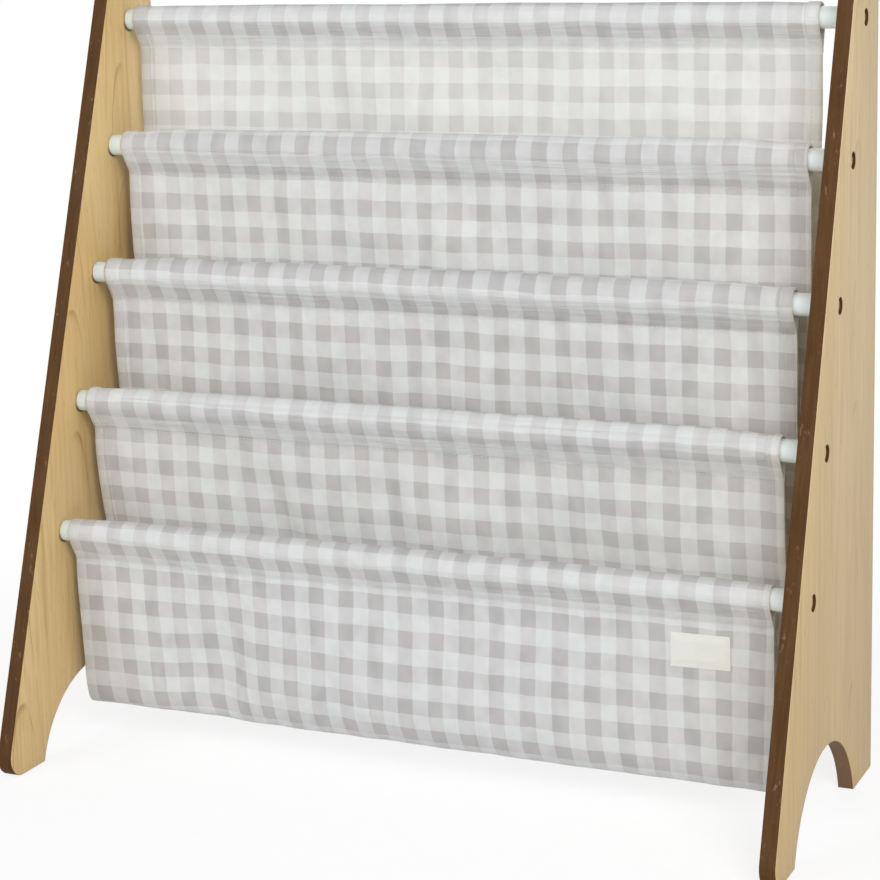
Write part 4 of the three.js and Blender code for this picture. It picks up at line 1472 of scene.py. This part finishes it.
def stitch_tree():
    """Lays a short rounded stitch at each step along the carrier's edges."""
    tree = Tree("stitch_run", {"Pitch": "Float", "Length": "Float", "Radius": "Float", "Thread": "Material"})
    run = tree.add("GeometryNodeMeshToCurve", {"Mesh": tree.inputs["Geometry"]})
    even = {"Curve": run.outputs[0], "Length": tree.inputs["Pitch"]}
    even = tree.add("GeometryNodeResampleCurve", even, mode="LENGTH")
    ball = tree.add("GeometryNodeMeshUVSphere", {"Segments": 8, "Rings": 6, "Radius": 1.0})
    half = tree.add("ShaderNodeMath", {0: tree.inputs["Length"], 1: 0.5}, operation="MULTIPLY")
    size = tree.add(
        "ShaderNodeCombineXYZ",
        {"X": tree.inputs["Radius"], "Y": tree.inputs["Radius"], "Z": half.outputs[0]},
    )
    along = {"Vector": tree.add("GeometryNodeInputTangent").outputs[0], "Factor": 1.0}
    aim = tree.add("FunctionNodeAlignEulerToVector", along, axis="Z")
    place = tree.add(
        "GeometryNodeInstanceOnPoints",
        {
            "Points": even.outputs[0],
            "Instance": ball.outputs["Mesh"],
            "Rotation": aim.outputs[0],
            "Scale": size.outputs[0],
        },
    )
    smooth = tree.add("GeometryNodeSetShadeSmooth", {"Geometry": place.outputs[0]})
    tree.end(smooth.outputs[0], tree.inputs["Thread"])
    return tree


def run_stitches(name, lines, tree):
    """Sews along lines of points."""
    points = []
    edges = []
    for run in lines:
        first = len(points)
        points.extend(tuple(p) for p in run)
        edges.extend((first + i, first + i + 1) for i in range(len(run) - 1))
    values = {"Pitch": STITCH_PITCH, "Length": STITCH_LENGTH, "Radius": STITCH_RADIUS, "Thread": thread}
    return tree.run(name, points, edges, values)


def sewn_label(tree):
    """A small tape label lying on the lowest pocket, held by a line of stitches near its rim."""
    across = np.linspace(label_low.x, label_high.x, LABEL_CELLS)
    heights = np.linspace(label_high.z, label_low.z, LABEL_CELLS * 2 // 3)
    z, x = np.meshgrid(heights, across, indexing="ij")
    from_rim = np.minimum(
        np.minimum(x - label_low.x, label_high.x - x), np.minimum(z - label_low.z, label_high.z - z)
    )
    lift = CLOTH / 2 + LABEL_HALF + STITCH_CLEAR + LABEL_PUFF * rising(from_rim, LABEL_STITCH, 0.007)
    wide, tall, seed = COCKLE_SIZE
    cockle = LABEL_COCKLE * (1 + unevenness(x / wide, z / tall, seed))
    lift = lift + cockle * rising(from_rim, 0.001, 0.004)
    drop = ROD_HEIGHT[LOWEST] - z
    y = ROD_DEPTH[LOWEST] + wall_setback(LOWEST, drop) + ripple(x, z) - wall_folds(LOWEST, x, drop) - lift
    grid = np.stack([x, y, z], 2)
    normal = normals_of(grid)
    half = LABEL_HALF * np.clip(from_rim / 0.0008, 0.3, 1)[..., None] ** 0.5
    piece = closed_sheet("cream_label", grid + normal * half, grid - normal * half, tape)
    inset = int(round(LABEL_STITCH / (across[1] - across[0])))
    rows, columns = grid.shape[:2]
    high, low = inset, rows - 1 - inset
    left, right = inset, columns - 1 - inset
    loop = [(high, j) for j in range(left, right)]
    loop += [(i, right) for i in range(high, low)]
    loop += [(low, j) for j in range(right, left, -1)]
    loop += [(i, left) for i in range(low, high - 1, -1)]
    outward = -LABEL_HALF - STITCH_CLEAR
    run = [grid[i, j] + normal[i, j] * outward for i, j in loop]
    edge = run_stitches("label_stitches", [run], tree)
    return piece, edge


# The pieces
for name, side, material, node in (
    ("left_panel", -1, left_face, "side_panel_left"),
    ("right_panel", 1, right_face, "side_panel_right"),
):
    panel = side_panel(name, side, material)
    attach(panel, "root")
    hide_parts(node)

for level in LEVELS:
    piece = rod(level)
    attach(piece, "root")
    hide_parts(f"rod_{level}")
    for side_name in ("left", "right"):
        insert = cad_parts[f"threaded_insert_{side_name}_{level}"]
        insert.material_slots[0].material = insert_metal

pattern = bolt_pattern()
bolt_tree = bolt_row_tree()
for side_name, side, seed in (("left", -1, 3), ("right", 1, 8)):
    row = bolt_row(f"bolts_{side_name}", side, pattern, bolt_tree, seed)
    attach(row, "root")
    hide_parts(*[f"bolt_{side_name}_{level}" for level in LEVELS])
bpy.data.objects.remove(pattern)

stitches = stitch_tree()
for level in LEVELS[:-1]:
    sling = Sling(level)
    piece = sling.piece()
    seams = sling.stitches(stitches)
    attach(piece, "root")
    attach(seams, "root")
    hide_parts(f"pocket_sling_{level}")

label, label_stitches = sewn_label(stitches)
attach(label, "root")
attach(label_stitches, "root")
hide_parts("sewn_label")


# Floor, world and lamps
def seen_ray(s):
    """1 for a ray that the camera, a gloss or a clear surface sends, and 0 for one that carries light."""
    path = s.add("LightPath").outputs
    seen = s.math("MAXIMUM", path["Is Camera Ray"], path["Is Glossy Ray"])
    return s.math("MAXIMUM", seen, path["Is Transmission Ray"])


def make_floor():
    """A pale floor that keeps the soft shadow under the shelf and fades to white round it."""
    s = Shader("white_floor")
    spread = s.mapping(s.object_place(), (1 / FLOOR_CLEAR, 1 / FLOOR_CLEAR, 0))
    distance = s.add("VectorMath", {0: spread}, operation="LENGTH").outputs["Value"]
    fade = s.range(distance, 0.35, 1.0, FLOOR_GLOW, 1.0, smooth=True)
    grain = s.noise(s.object_place(), (40, 40, 40))
    colour = s.mix(s.range(grain, 0.3, 0.7), shade(249, 249, 249), shade(246, 246, 246))
    matt = s.add("BsdfDiffuse", {"Color": colour, "Roughness": 0.5})
    white = s.add("Emission", {"Color": (1, 1, 1, 1), "Strength": 1.0})
    share = s.times(fade, seen_ray(s))
    material = s.end(s.add("MixShader", {0: share, 1: matt.outputs[0], 2: white.outputs[0]}))
    corners = [(-1, -1), (1, -1), (1, 1), (-1, 1)]
    corners = [(FLOOR_REACH * x, FLOOR_REACH * y, FLOOR_DROP) for x, y in corners]
    floor = mesh_piece("floor", corners, [(0, 1, 2, 3)], [material])


def make_world():
    """White where it is seen, and a soft even light elsewhere."""
    s = Shader("studio", bpy.data.worlds, "World")
    bpy.context.scene.world = s.owner
    soft = s.add("Background", {"Color": (1, 1, 1, 1), "Strength": WORLD_STRENGTH})
    white = s.add("Background", {"Color": (1, 1, 1, 1), "Strength": 1.0})
    s.end(s.add("MixShader", {0: seen_ray(s), 1: soft.outputs[0], 2: white.outputs[0]}))


def make_lamp(name, place, size, power):
    """A square lamp that looks at the shelf."""
    data = bpy.data.lights.new(name, "AREA")
    data.shape = "SQUARE"
    data.size = size
    data.energy = power
    lamp = put_in_scene(name, data)
    lamp.location = place
    aim = Vector(LAMP_TARGET) - Vector(place)
    lamp.rotation_euler = aim.to_track_quat("-Z", "Y").to_euler()


make_floor()
make_world()
for lamp in LAMPS:
    make_lamp(*lamp)
